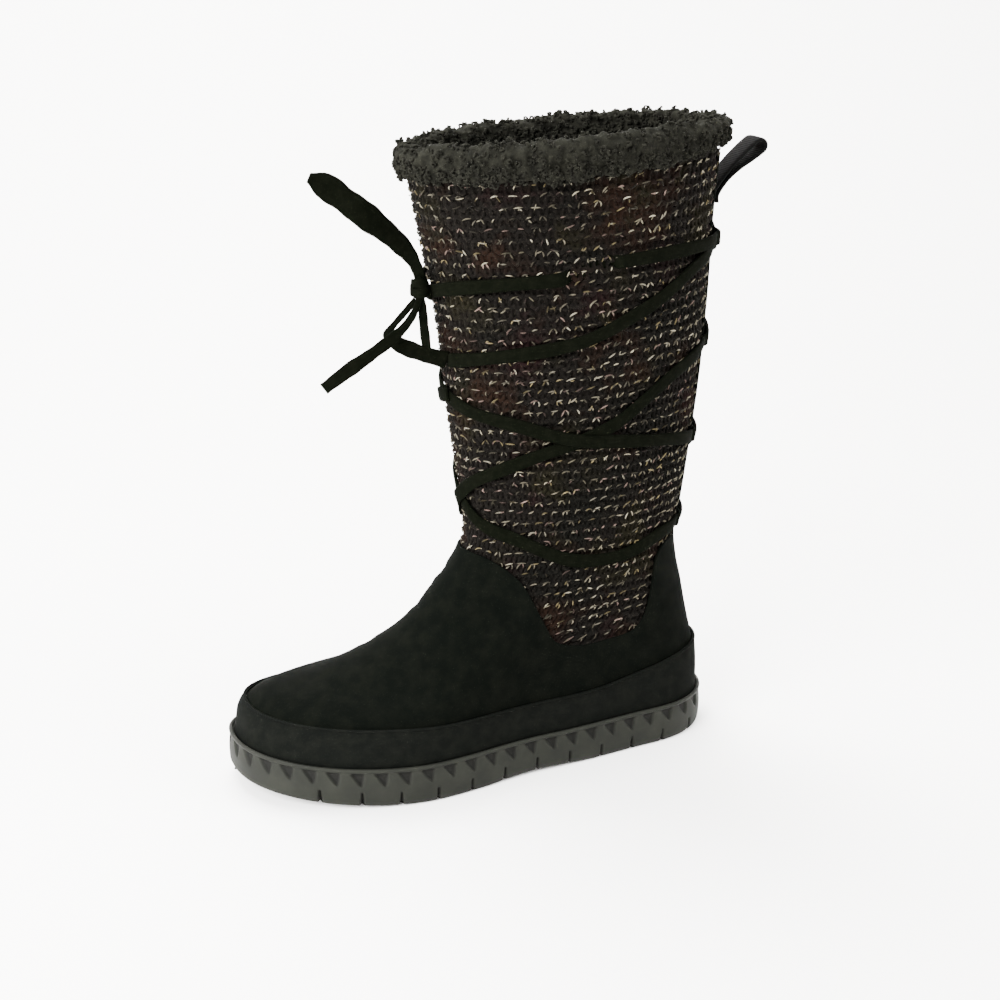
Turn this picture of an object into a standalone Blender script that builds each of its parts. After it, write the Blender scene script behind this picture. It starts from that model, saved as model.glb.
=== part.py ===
# Mukluk boot for the left foot: knitted shaft, suede foot, curly pile cuff, wound flat lace.
# Metres. +Z is up, the toe points to -X and the outer side of the foot faces -Y.
# The origin is on the ground, at the middle of the flat tread under the heel.

import math
from collections import namedtuple

import bmesh
import bpy
from mathutils import Vector

MM = 0.001

# Driving dimensions of the last: the foot form that upper and sole share
LAST_LENGTH = 269 * MM
LAST_WIDTH = 93 * MM
INSTEP_HEIGHT = 125 * MM
SHAFT_HEIGHT = 200 * MM
COLLAR_WIDTH = 112 * MM
TOE_LEAN = 12 * MM
TOE_SPRING = 7 * MM
HEEL_TO_ORIGIN = 40.8 * MM

# Walls and overlays
UPPER_WALL = 3.2 * MM
SHELL_WALL = 1.5 * MM
RAND_WALL = 1.6 * MM
BACKSTAY_WALL = 1.5 * MM
BACKSTAY_DROP = 2 * MM
INSOLE_THICKNESS = 4 * MM
INSOLE_GAP = 0.9 * MM
FIT_GAP = 0.3 * MM
RAND_GAP = 0.3 * MM
LIP_GAP = 0.8 * MM

# Outsole
SOLE_HEIGHT = 22.8 * MM
LIP_WIDTH = 1.6 * MM
LIP_HEIGHT = 2.0 * MM
SIDE_BULGE = 0.8 * MM
TREAD_BEVEL = 2.5 * MM
ARCH_RISE = 1.5 * MM
HEEL_BEVEL = 6 * MM
HEEL_BEVEL_LENGTH = 12 * MM
LUG_PITCH = 20.8 * MM
LUG_SHIFT = 3.3 * MM
GROOVE_WIDTH = 2.4 * MM
GROOVE_DEPTH = 4 * MM
NOTCH_HEIGHT = 9 * MM
NOTCH_DEPTH = 3 * MM
RECESS_PITCH = 13 * MM
RECESS_WIDTH = 8 * MM
RECESS_HEIGHT = 8 * MM
RECESS_DEPTH = 1.3 * MM
RECESS_DROP = 0.3 * MM

# Cuff, pull loop and lace
FUR_DEPTH = 6 * MM
FUR_CREST = 5 * MM
FUR_CURL = 1.2 * MM
LOOP_WIDTH = 10 * MM
LOOP_REACH = 26 * MM
LOOP_THICKNESS = 2 * MM
LOOP_SLIT = 2.2 * MM
LOOP_FOOT_RISE = 0.80
LACE_WIDTH = 7.5 * MM
LACE_THICKNESS = 2 * MM
LACE_STEP = 0.12 * MM
LACE_RUNS = 7
KEEPER_WIDTH = 8 * MM
KEEPER_THICKNESS = 1.5 * MM
KEEPER_FOOT = 3.5 * MM
KEEPER_ROOM = 2 * MM
KNOT_RADIUS = 6 * MM
KNOT_LIFT = 3 * MM
CORD_DIAMETER = 4.4 * MM

# Columns around the boot, from the middle of the back over the outer side to the toe and home
COLUMNS = 40
HALF = COLUMNS // 2
STRIP_COLUMNS = 2

Section = namedtuple(
    "Section",
    "back back_rise front front_rise heel waist_out waist_in ball_out ball_in heel_cap toe_cap power",
)

# Foot sections, sole to ankle. Back and front lie along the last as shares of LAST_LENGTH, the
# rises are shares of INSTEP_HEIGHT and the half widths are shares of LAST_WIDTH.
FOOT_SECTIONS = (
    Section(0.000, 0.000, 1.000, 0.000, 0.345, 0.413, 0.330, 0.518, 0.482, 0.15, 0.36, 2.35),
    Section(0.002, 0.110, 0.992, 0.110, 0.360, 0.420, 0.345, 0.520, 0.485, 0.16, 0.36, 2.35),
    Section(0.004, 0.185, 0.974, 0.176, 0.360, 0.410, 0.350, 0.505, 0.465, 0.17, 0.37, 2.30),
    Section(0.008, 0.265, 0.934, 0.227, 0.355, 0.395, 0.345, 0.470, 0.430, 0.19, 0.40, 2.20),
    Section(0.017, 0.345, 0.850, 0.276, 0.350, 0.375, 0.345, 0.430, 0.390, 0.22, 0.43, 2.10),
    Section(0.027, 0.435, 0.752, 0.361, 0.345, 0.360, 0.345, 0.400, 0.370, 0.25, 0.45, 2.05),
    Section(0.038, 0.540, 0.657, 0.483, 0.345, 0.355, 0.350, 0.380, 0.360, 0.29, 0.47, 2.00),
    Section(0.053, 0.670, 0.583, 0.655, 0.345, 0.360, 0.355, 0.365, 0.355, 0.34, 0.48, 2.00),
    Section(0.060, 0.810, 0.535, 0.805, 0.350, 0.365, 0.360, 0.360, 0.355, 0.40, 0.49, 2.00),
    Section(0.046, 0.960, 0.527, 0.960, 0.360, 0.375, 0.370, 0.370, 0.365, 0.46, 0.50, 2.00),
)

# Shaft sections, ankle to collar. The rises are shares of SHAFT_HEIGHT above the instep and the
# half widths are shares of COLLAR_WIDTH.
SHAFT_SECTIONS = (
    Section(0.033, 0.12, 0.543, 0.12, 0.325, 0.335, 0.330, 0.335, 0.330, 0.48, 0.50, 2.00),
    Section(0.018, 0.32, 0.564, 0.31, 0.365, 0.370, 0.365, 0.370, 0.365, 0.50, 0.50, 2.00),
    Section(0.010, 0.56, 0.582, 0.52, 0.415, 0.415, 0.415, 0.415, 0.415, 0.50, 0.50, 2.00),
    Section(0.007, 0.80, 0.618, 0.762, 0.455, 0.455, 0.455, 0.455, 0.455, 0.50, 0.50, 2.00),
    Section(-0.004, 1.01, 0.649, 0.96, 0.490, 0.490, 0.490, 0.490, 0.490, 0.50, 0.50, 2.00),
)
TOP_LEVEL = len(FOOT_SECTIONS) + len(SHAFT_SECTIONS) - 1
CUFF_LEVEL = TOP_LEVEL - 0.5
ANKLE_LEVEL = len(FOOT_SECTIONS) - 1
RAND_LEVEL = 4
INSTEP_LEVEL = 5

# Upper edges in side view, heel to toe: shares of LAST_LENGTH along, shares of INSTEP_HEIGHT up
EdgePoint = namedtuple("EdgePoint", "along up")
SHELL_EDGE = (
    EdgePoint(-0.100, 0.785),
    EdgePoint(0.060, 0.785),
    EdgePoint(0.105, 0.783),
    EdgePoint(0.138, 0.730),
    EdgePoint(0.152, 0.600),
    EdgePoint(0.168, 0.475),
    EdgePoint(0.200, 0.405),
    EdgePoint(0.255, 0.386),
    EdgePoint(0.322, 0.379),
    EdgePoint(0.380, 0.415),
    EdgePoint(0.407, 0.505),
    EdgePoint(0.430, 0.610),
    EdgePoint(0.455, 0.710),
    EdgePoint(0.495, 0.785),
    EdgePoint(0.540, 0.820),
    EdgePoint(0.640, 0.830),
)
RAND_EDGE = (
    EdgePoint(-0.100, 0.265),
    EdgePoint(0.070, 0.243),
    EdgePoint(0.165, 0.213),
    EdgePoint(0.285, 0.172),
    EdgePoint(0.405, 0.166),
    EdgePoint(0.520, 0.166),
    EdgePoint(0.640, 0.169),
    EdgePoint(0.740, 0.179),
    EdgePoint(0.835, 0.188),
    EdgePoint(0.920, 0.199),
    EdgePoint(1.060, 0.220),
)

# Lace turns: angle round the boot in degrees (0 back, 90 outer side, 180 front, 270 inner side)
# and height as a share of SHAFT_HEIGHT above the instep
Turn = namedtuple("Turn", "angle up")
LOW_FALL = (Turn(0, 0.440), Turn(20, 0.432), Turn(42, 0.404), Turn(55, 0.379), Turn(64, 0.350),
            Turn(75, 0.307), Turn(84, 0.268), Turn(98, 0.231), Turn(121, 0.187), Turn(142, 0.141),
            Turn(163, 0.094), Turn(180, 0.042))
LOW_BAND = (Turn(0, -0.090), Turn(20, -0.094), Turn(46, -0.099), Turn(59, -0.115),
            Turn(75, -0.134), Turn(89, -0.136), Turn(102, -0.127), Turn(114, -0.105),
            Turn(126, -0.078), Turn(139, -0.053), Turn(152, -0.036), Turn(166, -0.008),
            Turn(180, 0.042))
MIDDLE_BAND = (Turn(0, 0.150), Turn(20, 0.156), Turn(41, 0.173), Turn(58, 0.189), Turn(88, 0.214),
               Turn(102, 0.227), Turn(116, 0.246), Turn(130, 0.273), Turn(157, 0.305),
               Turn(180, 0.340))
INNER_RISE = (Turn(0, 0.715), Turn(21, 0.700), Turn(52, 0.640), Turn(83, 0.540), Turn(112, 0.455),
              Turn(149, 0.380), Turn(180, 0.340))
HIGH_FALL = (Turn(0, 0.715), Turn(21, 0.702), Turn(41, 0.676), Turn(52, 0.653), Turn(68, 0.600),
             Turn(83, 0.556), Turn(96, 0.518), Turn(112, 0.490), Turn(149, 0.455),
             Turn(180, 0.428))
TOP_BAND = (Turn(0, 0.715), Turn(30, 0.718), Turn(59, 0.720), Turn(88, 0.711), Turn(98, 0.694),
            Turn(108, 0.676), Turn(133, 0.662), Turn(158, 0.642), Turn(180, 0.617))
# Middle line of the folded pull loop: out from and up the backstay, as shares of LOOP_REACH
LOOP_LINE = ((0.0, 0.0), (0.0, 0.2), (0.2, 0.5), (0.48, 0.78), (0.76, 1.0), (1.0, 1.18))

KEEPER_RISES = (LOW_BAND[0].up, MIDDLE_BAND[0].up, LOW_FALL[0].up, TOP_BAND[0].up)

# Routes of the free lace at the knot, in metres
END_UP_ROUTE = ((-0.1309, -0.0005, 0.2780), (-0.1322, -0.0020, 0.2830), (-0.1352, -0.0030, 0.2902),
                (-0.1438, -0.0040, 0.2998), (-0.1554, -0.0050, 0.3094), (-0.1680, -0.0050, 0.3193),
                (-0.1793, -0.0050, 0.3279), (-0.1880, -0.0050, 0.3327))
END_DOWN_ROUTE = ((-0.1311, -0.0018, 0.2635), (-0.1330, -0.0050, 0.2592), (-0.1380, -0.0080, 0.2546),
                  (-0.1469, -0.0110, 0.2489), (-0.1589, -0.0120, 0.2418),
                  (-0.1721, -0.0120, 0.2342), (-0.1848, -0.0110, 0.2257))
LOOP_ROUTE = ((-0.1170, -0.0081, 0.2337), (-0.1254, -0.0070, 0.2366), (-0.1344, -0.0060, 0.2403),
              (-0.1420, -0.0040, 0.2443), (-0.1455, -0.0010, 0.2486), (-0.1418, 0.0015, 0.2530),
              (-0.1360, 0.0035, 0.2590), (-0.1319, 0.0040, 0.2635))

# The sole's outline is the last's own, grown by what lies between them
RAND_DEPTH = FIT_GAP + SHELL_WALL + RAND_GAP
SEAT_INSET = RAND_DEPTH + RAND_WALL + LIP_GAP
SOLE_GROW = SEAT_INSET + LIP_WIDTH
SEAT_HEIGHT = SOLE_HEIGHT - LIP_HEIGHT
BASE_HEIGHT = SEAT_HEIGHT + FIT_GAP
SPRING_START = 0.66
FOREFOOT_FLAT = (0.55, 0.66)
HEEL_FLAT_END = 0.30
TOE_SMOOTH_FROM = 0.91


def clamp(value, low=0.0, high=1.0):
    return max(low, min(high, value))


def ease(value):
    share = clamp(value)
    return share * share * (3 - 2 * share)


def spring(along):
    """Height of the toe spring at a distance from the last's heel."""
    share = clamp((along / LAST_LENGTH - SPRING_START) / (1 - SPRING_START), 0, 1.1)
    return TOE_SPRING * share * share


def tread_height(along):
    """Underside of the sole: heel bevel, flat heel, arch, flat forefoot and toe spring."""
    from_back = along + SOLE_GROW
    bevel = clamp(1 - from_back / HEEL_BEVEL_LENGTH)
    share = clamp((along / LAST_LENGTH - HEEL_FLAT_END) / (FOREFOOT_FLAT[0] - HEEL_FLAT_END))
    arch = ARCH_RISE * math.sin(math.pi * share)
    return HEEL_BEVEL * bevel * bevel + arch + spring(along)


def seat_lift(along):
    return 0.75 * spring(along)


def real_section(section, length, height, width, floor):
    """Turn a row of shares into metres."""
    return Section(
        section.back * length,
        floor + section.back_rise * height,
        section.front * length,
        floor + section.front_rise * height,
        *(value * width for value in section[4:9]),
        *section[9:],
    )


def all_sections():
    foot = [
        real_section(row, LAST_LENGTH, INSTEP_HEIGHT, LAST_WIDTH, BASE_HEIGHT)
        for row in FOOT_SECTIONS
    ]
    shaft = [
        real_section(row, LAST_LENGTH, SHAFT_HEIGHT, COLLAR_WIDTH, BASE_HEIGHT + INSTEP_HEIGHT)
        for row in SHAFT_SECTIONS
    ]
    return foot + shaft


SECTIONS = all_sections()


def smooth_between(before, start, end, after, share):
    """One value of a Catmull-Rom curve from start to end."""
    return 0.5 * (
        2 * start
        + (end - before) * share
        + (2 * before - 5 * start + 4 * end - after) * share ** 2
        + (3 * start - before - 3 * end + after) * share ** 3
    )


def section_at(level):
    """Section at a level, where each whole number is a row of the two tables."""
    last = len(SECTIONS) - 1
    row = min(int(level), last - 1)
    before = SECTIONS[max(row - 1, 0)]
    after = SECTIONS[min(row + 2, last)]
    share = level - row
    values = zip(before, SECTIONS[row], SECTIONS[row + 1], after)
    return Section(*(smooth_between(*four, share) for four in values))


def cap(distance, length, power):
    """Rounding of an end of a section: 1 away from the end and 0 at its tip."""
    if distance >= length:
        return 1.0
    share = clamp(1 - distance / length)
    return (1 - share ** power) ** (1 / power)


def section_point(section, angle):
    """Point of a section at an angle round the boot, in radians."""
    share = (1 - math.cos(angle)) / 2
    outer_side = math.sin(angle) >= 0
    waist = section.waist_out if outer_side else section.waist_in
    ball = section.ball_out if outer_side else section.ball_in
    width = section.heel + (waist - section.heel) * ease((share - 0.10) / 0.32)
    width += (ball - waist) * ease((share - 0.40) / 0.32)
    width *= cap(share, section.heel_cap, 2.1) * cap(1 - share, section.toe_cap, section.power)
    along = section.back + (section.front - section.back) * share
    up = section.back_rise + (section.front_rise - section.back_rise) * share
    lean = TOE_LEAN * clamp((along / LAST_LENGTH - 0.55) / 0.45) ** 2
    fade = clamp(1 - (up - BASE_HEIGHT) / (0.75 * INSTEP_HEIGHT))
    side = lean - width if outer_side else lean + width
    return Vector((HEEL_TO_ORIGIN - along, side, up + seat_lift(along) * fade))


def column_angle(column):
    return 2 * math.pi * column / COLUMNS


def make_levels():
    """Levels of the upper's rings: each table row, and halves where the form bends most."""
    levels = []
    for row in range(TOP_LEVEL):
        levels.append(float(row))
        if 3 <= row < 7 or row >= ANKLE_LEVEL:
            levels.append(row + 0.5)
    levels.append(float(TOP_LEVEL))
    return levels


LEVELS = make_levels()


def make_form():
    """Outer face of the upper: rings of points, each with its outward normal."""
    rings = []
    for level in LEVELS:
        section = section_at(level)
        rings.append([section_point(section, column_angle(i)) for i in range(COLUMNS)])
    normals = []
    for row, ring in enumerate(rings):
        below = rings[max(row - 1, 0)]
        above = rings[min(row + 1, len(rings) - 1)]
        line = []
        for i in range(COLUMNS):
            around = ring[(i + 1) % COLUMNS] - ring[i - 1]
            rise = above[i] - below[i]
            normal = rise.cross(around)
            normal.z *= clamp(LEVELS[row] - 0.5)
            line.append(normal.normalized())
        normals.append(line)
    return rings, normals


FORM, NORMALS = make_form()


def base_height(along):
    return BASE_HEIGHT + seat_lift(along)


def offset_ring(row, offset):
    """Ring of the form moved outwards; the lowest one stays level with the sole's seat."""
    if row == 0:
        return flat_ring(offset, base_height)
    return [point + normal * offset for point, normal in zip(FORM[row], NORMALS[row])]


def flat_ring(grow, height):
    """The last's base outline grown level, with its height given along the last."""
    points = []
    for point, normal in zip(FORM[0], NORMALS[0]):
        place = point + normal * grow
        place.z = height(HEEL_TO_ORIGIN - place.x)
        points.append(place)
    return points


def column_frame(column, height):
    """Point, outward normal and upward direction on the form, above the instep's own bend."""
    column = column % COLUMNS
    for row in range(len(FORM) - 1):
        low = FORM[row][column]
        high = FORM[row + 1][column]
        if LEVELS[row] >= INSTEP_LEVEL and (low.z <= height <= high.z or row == len(FORM) - 2):
            share = (height - low.z) / (high.z - low.z)
            normal = NORMALS[row][column].lerp(NORMALS[row + 1][column], share)
            return low.lerp(high, share), normal.normalized(), (high - low).normalized()
    return FORM[-1][column], NORMALS[-1][column], Vector((0, 0, 1))


def rise_height(share):
    """Height of a share of the shaft above the instep."""
    return BASE_HEIGHT + INSTEP_HEIGHT + share * SHAFT_HEIGHT


def new_material(name, colour, roughness):
    material = bpy.data.materials.new(name)
    material.use_nodes = True
    shader = material.node_tree.nodes["Principled BSDF"]
    shader.inputs["Base Color"].default_value = (*colour, 1)
    shader.inputs["Roughness"].default_value = roughness
    shader.inputs["Metallic"].default_value = 0
    return material


def new_object(name, vertices, faces, material, sharp=35):
    mesh = bpy.data.meshes.new(name)
    mesh.from_pydata([tuple(vertex) for vertex in vertices], [], faces)
    mesh.materials.append(material)
    mesh.shade_smooth()
    mesh.set_sharp_from_angle(angle=math.radians(sharp))
    thing = bpy.data.objects.new(name, mesh)
    bpy.context.scene.collection.objects.link(thing)
    return thing


def face_outwards(thing):
    bm = bmesh.new()
    bm.from_mesh(thing.data)
    bmesh.ops.recalc_face_normals(bm, faces=bm.faces)
    bm.to_mesh(thing.data)
    bm.free()


def cut(thing, cutter):
    """Cut a hidden guide body out of an object."""
    cutter.hide_render = True
    cutter.display_type = "WIRE"
    boolean = thing.modifiers.new("cut by " + cutter.name, "BOOLEAN")
    boolean.operation = "DIFFERENCE"
    boolean.object = cutter


def loft(name, rings, material, ring_closed=True, sharp=35, outer_rows=None):
    """Body through rings of equally many points. Closed rings loop back to the first one,
    open ones get caps that are strips from side to side. Past outer_rows the rings run back
    down, and their diagonals turn so that they match those of the face outside them."""
    count = len(rings[0])
    vertices = [point for ring in rings for point in ring]
    faces = []
    spans = len(rings) if ring_closed else len(rings) - 1
    for row in range(spans):
        low = row * count
        high = ((row + 1) % len(rings)) * count
        for i in range(count):
            after = (i + 1) % count
            if outer_rows and row >= outer_rows:
                faces.append((low + i, low + after, high + i))
                faces.append((low + after, high + after, high + i))
            else:
                faces.append((low + i, low + after, high + after))
                faces.append((low + i, high + after, high + i))
    if not ring_closed:
        for start in (0, (len(rings) - 1) * count):
            for i in range(count // 2):
                corners = (start + i, start + i + 1, start + (-i - 1) % count, start + -i % count)
                faces.append(tuple(dict.fromkeys(corners)))
    thing = new_object(name, vertices, faces, material, sharp)
    face_outwards(thing)
    return thing


def side_guide(name, edge):
    """Guide body over an edge line in side view, wide enough to pass through the whole boot."""
    reach = LAST_WIDTH
    line = [
        (HEEL_TO_ORIGIN - point.along * LAST_LENGTH, BASE_HEIGHT + point.up * INSTEP_HEIGHT)
        for point in smooth_edge(edge)
    ]
    roof = BASE_HEIGHT + 1.5 * INSTEP_HEIGHT
    line += [(line[-1][0], roof), (line[0][0], roof)]
    vertices = [(x, side, z) for side in (-reach, reach) for x, z in line]
    count = len(line)
    faces = [tuple(range(count)), tuple(range(2 * count - 1, count - 1, -1))]
    for i in range(count):
        after = (i + 1) % count
        faces.append((i, after, count + after, count + i))
    guide = new_object(name, vertices, faces, None)
    face_outwards(guide)
    return guide


def smooth_edge(edge, steps=3):
    """Edge line with its bends rounded by a curve through its own points."""
    points = []
    for i in range(len(edge) - 1):
        before = edge[max(i - 1, 0)]
        after = edge[min(i + 2, len(edge) - 1)]
        for step in range(steps):
            values = zip(before, edge[i], edge[i + 1], after)
            points.append(EdgePoint(*(smooth_between(*four, step / steps) for four in values)))
    points.append(edge[-1])
    return points


def build_outsole(material):
    """Moulded rubber sole: lofted sides and lip, cross grooves, side notches and recesses."""
    def edge_foot(along):
        return tread_height(along) + 0.4 * TREAD_BEVEL

    def wall_foot(along):
        return tread_height(along) + 1.6 * TREAD_BEVEL

    def wall_middle(along):
        return (tread_height(along) + seat_lift(along) + SOLE_HEIGHT) / 2

    def lip_foot(along):
        return SOLE_HEIGHT - LIP_HEIGHT + seat_lift(along)

    def lip_top(along):
        return SOLE_HEIGHT + seat_lift(along)

    rings = [
        flat_ring(SOLE_GROW - TREAD_BEVEL, tread_height),
        flat_ring(SOLE_GROW - 0.4 * TREAD_BEVEL, edge_foot),
        flat_ring(SOLE_GROW, wall_foot),
        flat_ring(SOLE_GROW + 0.5 * SIDE_BULGE, wall_middle),
        flat_ring(SOLE_GROW - 0.5 * SIDE_BULGE, lip_foot),
        flat_ring(SOLE_GROW, lip_top),
        flat_ring(SEAT_INSET, lip_top),
        flat_ring(SEAT_INSET, lip_foot),
    ]
    sole = loft("outsole", rings, material, ring_closed=False, sharp=30)
    cut(sole, build_grooves())
    cut(sole, build_recesses())
    return sole


def sole_reach(outer_side, along):
    """Half width of the sole at a distance along the last."""
    ring = flat_ring(SOLE_GROW, tread_height)
    side = ring[: HALF + 1] if outer_side else [ring[-i % COLUMNS] for i in range(HALF + 1)]
    x = HEEL_TO_ORIGIN - along
    for near, far in zip(side, side[1:]):
        if far.x <= x <= near.x:
            share = (near.x - x) / (near.x - far.x)
            return near.y + (far.y - near.y) * share
    return side[0].y


def build_grooves():
    """Cross grooves between the lugs, each with a taller notch where it leaves the side."""
    vertices = []
    faces = []
    behind = HEEL_TO_ORIGIN + SOLE_GROW - 0.6 * HEEL_BEVEL_LENGTH + LUG_SHIFT
    first = -int(behind / LUG_PITCH + 0.5)
    last = int((TOE_SMOOTH_FROM * LAST_LENGTH - HEEL_TO_ORIGIN - LUG_SHIFT) / LUG_PITCH - 0.5)
    clear = 3 * NOTCH_DEPTH
    for number in range(first, last + 1):
        x = -(number + 0.5) * LUG_PITCH - LUG_SHIFT
        along = HEEL_TO_ORIGIN - x
        floor = tread_height(along)
        outer = sole_reach(True, along)
        inner = sole_reach(False, along)
        profile = [
            (outer - clear, floor - clear),
            (inner + clear, floor - clear),
            (inner + clear, floor + NOTCH_HEIGHT),
            (inner - NOTCH_DEPTH, floor + NOTCH_HEIGHT),
            (inner - NOTCH_DEPTH, floor + GROOVE_DEPTH),
            (outer + NOTCH_DEPTH, floor + GROOVE_DEPTH),
            (outer + NOTCH_DEPTH, floor + NOTCH_HEIGHT),
            (outer - clear, floor + NOTCH_HEIGHT),
        ]
        start = len(vertices)
        count = len(profile)
        for step in (-GROOVE_WIDTH / 2, GROOVE_WIDTH / 2):
            vertices += [(x + step, y, z) for y, z in profile]
        faces.append(tuple(range(start, start + count)))
        faces.append(tuple(range(start + 2 * count - 1, start + count - 1, -1)))
        for i in range(count):
            after = (i + 1) % count
            faces.append((start + i, start + after, start + count + after, start + count + i))
    guide = new_object("groove guide", vertices, faces, None)
    face_outwards(guide)
    return guide


def walk(ring, pitch):
    """Points at even steps round a closed ring, each with its level outward direction."""
    lengths = [(ring[(i + 1) % len(ring)] - ring[i]).length for i in range(len(ring))]
    total = sum(lengths)
    count = round(total / pitch)
    places = []
    edge = 0
    passed = 0.0
    for number in range(count):
        target = (number + 0.5) * total / count
        while passed + lengths[edge] < target:
            passed += lengths[edge]
            edge += 1
        near = ring[edge]
        far = ring[(edge + 1) % len(ring)]
        along = (far - near).normalized()
        places.append((near + along * (target - passed), along, Vector((0, 0, 1)).cross(along)))
    return places


def build_recesses():
    """Row of small three-cornered recesses that hang from the rim, all round the sole."""
    rim = flat_ring(SOLE_GROW, lambda along: SEAT_HEIGHT + seat_lift(along) - RECESS_DROP)
    vertices = []
    faces = []
    lean = 0.3 * RECESS_WIDTH
    for place, along, outward in walk(rim, RECESS_PITCH):
        heelward = -along if outward.y < 0 else along
        start = len(vertices)
        for depth in (-RECESS_DEPTH, 3 * RECESS_DEPTH):
            centre = place + outward * depth
            vertices.append(centre + heelward * RECESS_WIDTH / 2)
            vertices.append(centre - heelward * RECESS_WIDTH / 2)
            vertices.append(centre + heelward * lean - Vector((0, 0, RECESS_HEIGHT)))
        faces.append((start, start + 1, start + 2))
        faces.append((start + 5, start + 4, start + 3))
        for i in range(3):
            after = (i + 1) % 3
            faces.append((start + i, start + 3 + i, start + 3 + after, start + after))
    guide = new_object("recess guide", vertices, faces, None)
    face_outwards(guide)
    return guide


def build_insole(material):
    """Footbed on the sole's seat, inside the upper."""
    inset = UPPER_WALL + INSOLE_GAP

    def over(along):
        return base_height(along) + INSOLE_THICKNESS

    rings = [flat_ring(-inset, base_height), flat_ring(-inset, over)]
    return loft("insole", rings, material, ring_closed=False, sharp=30)


def build_upper(material):
    """Hollow upper, open at the collar and underneath; its inside needs fewer rings."""
    rows = range(len(FORM))
    outer = [offset_ring(row, 0) for row in rows]
    inner = [offset_ring(row, -UPPER_WALL) for row in reversed(rows) if LEVELS[row].is_integer()]
    return loft("upper", outer + inner, material, outer_rows=len(outer))


def build_layer(name, top_level, depth, wall, material):
    """Layer that follows the upper at a depth over it, up to a level."""
    rows = [row for row, level in enumerate(LEVELS) if level <= top_level]
    outer = [offset_ring(row, depth + wall) for row in rows]
    inner = [offset_ring(row, depth) for row in reversed(rows)]
    return loft(name, outer + inner, material, outer_rows=len(outer))


def build_backstay(material):
    """Narrow strip up the middle of the back, from the foot shell to the cuff."""
    floor = BASE_HEIGHT + SHELL_EDGE[1].up * INSTEP_HEIGHT + 2 * FIT_GAP
    columns = range(-STRIP_COLUMNS, STRIP_COLUMNS + 1)
    rows = [
        row for row, level in enumerate(LEVELS)
        if level <= CUFF_LEVEL and FORM[row][0].z > floor + FIT_GAP
    ]
    outer = []
    inner = []
    for column in columns:
        point, normal, rise = column_frame(column, floor)
        line = [(point, normal)]
        line += [(FORM[row][column], NORMALS[row][column]) for row in rows]
        last_point, last_normal = line[-1]
        line[-1] = (last_point - Vector((0, 0, BACKSTAY_DROP)), last_normal)
        outer.append([spot + out * (FIT_GAP + BACKSTAY_WALL) for spot, out in line])
        inner.append([spot + out * FIT_GAP for spot, out in line])
    return slab("backstay", outer, inner, material)


def slab(name, outer, inner, material, sharp=35):
    """Closed body between two equal grids of points."""
    lines = len(outer)
    count = len(outer[0])
    vertices = [point for line in outer for point in line]
    vertices += [point for line in inner for point in line]
    shift = lines * count
    faces = []
    for a in range(lines - 1):
        for b in range(count - 1):
            corner = a * count + b
            quad = (corner, corner + count, corner + count + 1, corner + 1)
            faces.append((quad[0], quad[1], quad[2]))
            faces.append((quad[0], quad[2], quad[3]))
            faces.append(tuple(shift + i for i in (quad[2], quad[1], quad[0])))
            faces.append(tuple(shift + i for i in (quad[3], quad[2], quad[0])))
    border = [b for b in range(count)]
    border += [a * count + count - 1 for a in range(1, lines)]
    border += [(lines - 1) * count + b for b in range(count - 2, -1, -1)]
    border += [a * count for a in range(lines - 2, 0, -1)]
    for i, here in enumerate(border):
        after = border[(i + 1) % len(border)]
        faces.append((here, after, shift + after))
        faces.append((here, shift + after, shift + here))
    thing = new_object(name, vertices, faces, material, sharp)
    face_outwards(thing)
    return thing


def curl(column, place):
    """Even, repeatable unevenness of the curly pile."""
    return FUR_CURL * (math.sin(2.9 * column + 1.7 * place) + 0.6 * math.sin(5.3 * column - place))


def build_cuff(material):
    """Pile band turned over the collar, with its curls raised on the outside."""
    top = len(FORM) - 1
    low = top - 1
    fur = (
        (0.0, 0.55, -1.5 * MM),
        (0.25, 1.0, 0.0),
        (0.75, 1.0, 0.0),
        (1.0, 0.8, 0.5 * FUR_CREST),
    )
    rings = [[] for spot in range(2 * len(fur) + 5)]
    for column in range(COLUMNS):
        outer = FORM[low][column], FORM[top][column]
        out = NORMALS[low][column], NORMALS[top][column]
        inner = [point - normal * UPPER_WALL for point, normal in zip(outer, out)]
        line = [outer[0] + out[0] * FIT_GAP]
        for place, (share, depth, drop) in enumerate(fur):
            fullness = FUR_DEPTH * depth + curl(column, place)
            spot = outer[0].lerp(outer[1], share) + out[1] * fullness
            line.append(spot + Vector((0, 0, drop)))
        crest = outer[1].lerp(inner[1], 0.5) + Vector((0, 0, FUR_CREST + 0.5 * curl(column, 2 * len(fur) + 1)))
        line.append(crest)
        for place, (share, depth, drop) in enumerate(reversed(fur)):
            fullness = 0.8 * FUR_DEPTH * depth + curl(column, place + 4)
            spot = inner[0].lerp(inner[1], share) - out[1] * fullness
            line.append(spot + Vector((0, 0, drop)))
        line.append(inner[0] - out[0] * FIT_GAP)
        line.append(inner[1] - out[1] * FIT_GAP + Vector((0, 0, FIT_GAP)))
        line.append(outer[1] + out[1] * FIT_GAP + Vector((0, 0, FIT_GAP)))
        for ring, point in zip(rings, line):
            ring.append(point)
    return loft("fur_cuff", rings, material)


def turn_height(turns, angle):
    """Height of the lace at an angle, on a curve through its turns."""
    angles = [turn.angle for turn in turns]
    for i in range(len(turns) - 1):
        if angles[i] <= angle <= angles[i + 1]:
            share = (angle - angles[i]) / (angles[i + 1] - angles[i])
            before = turns[max(i - 1, 0)].up
            after = turns[min(i + 2, len(turns) - 1)].up
            return rise_height(smooth_between(before, turns[i].up, turns[i + 1].up, after, share))
    return rise_height(turns[-1].up)


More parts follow.
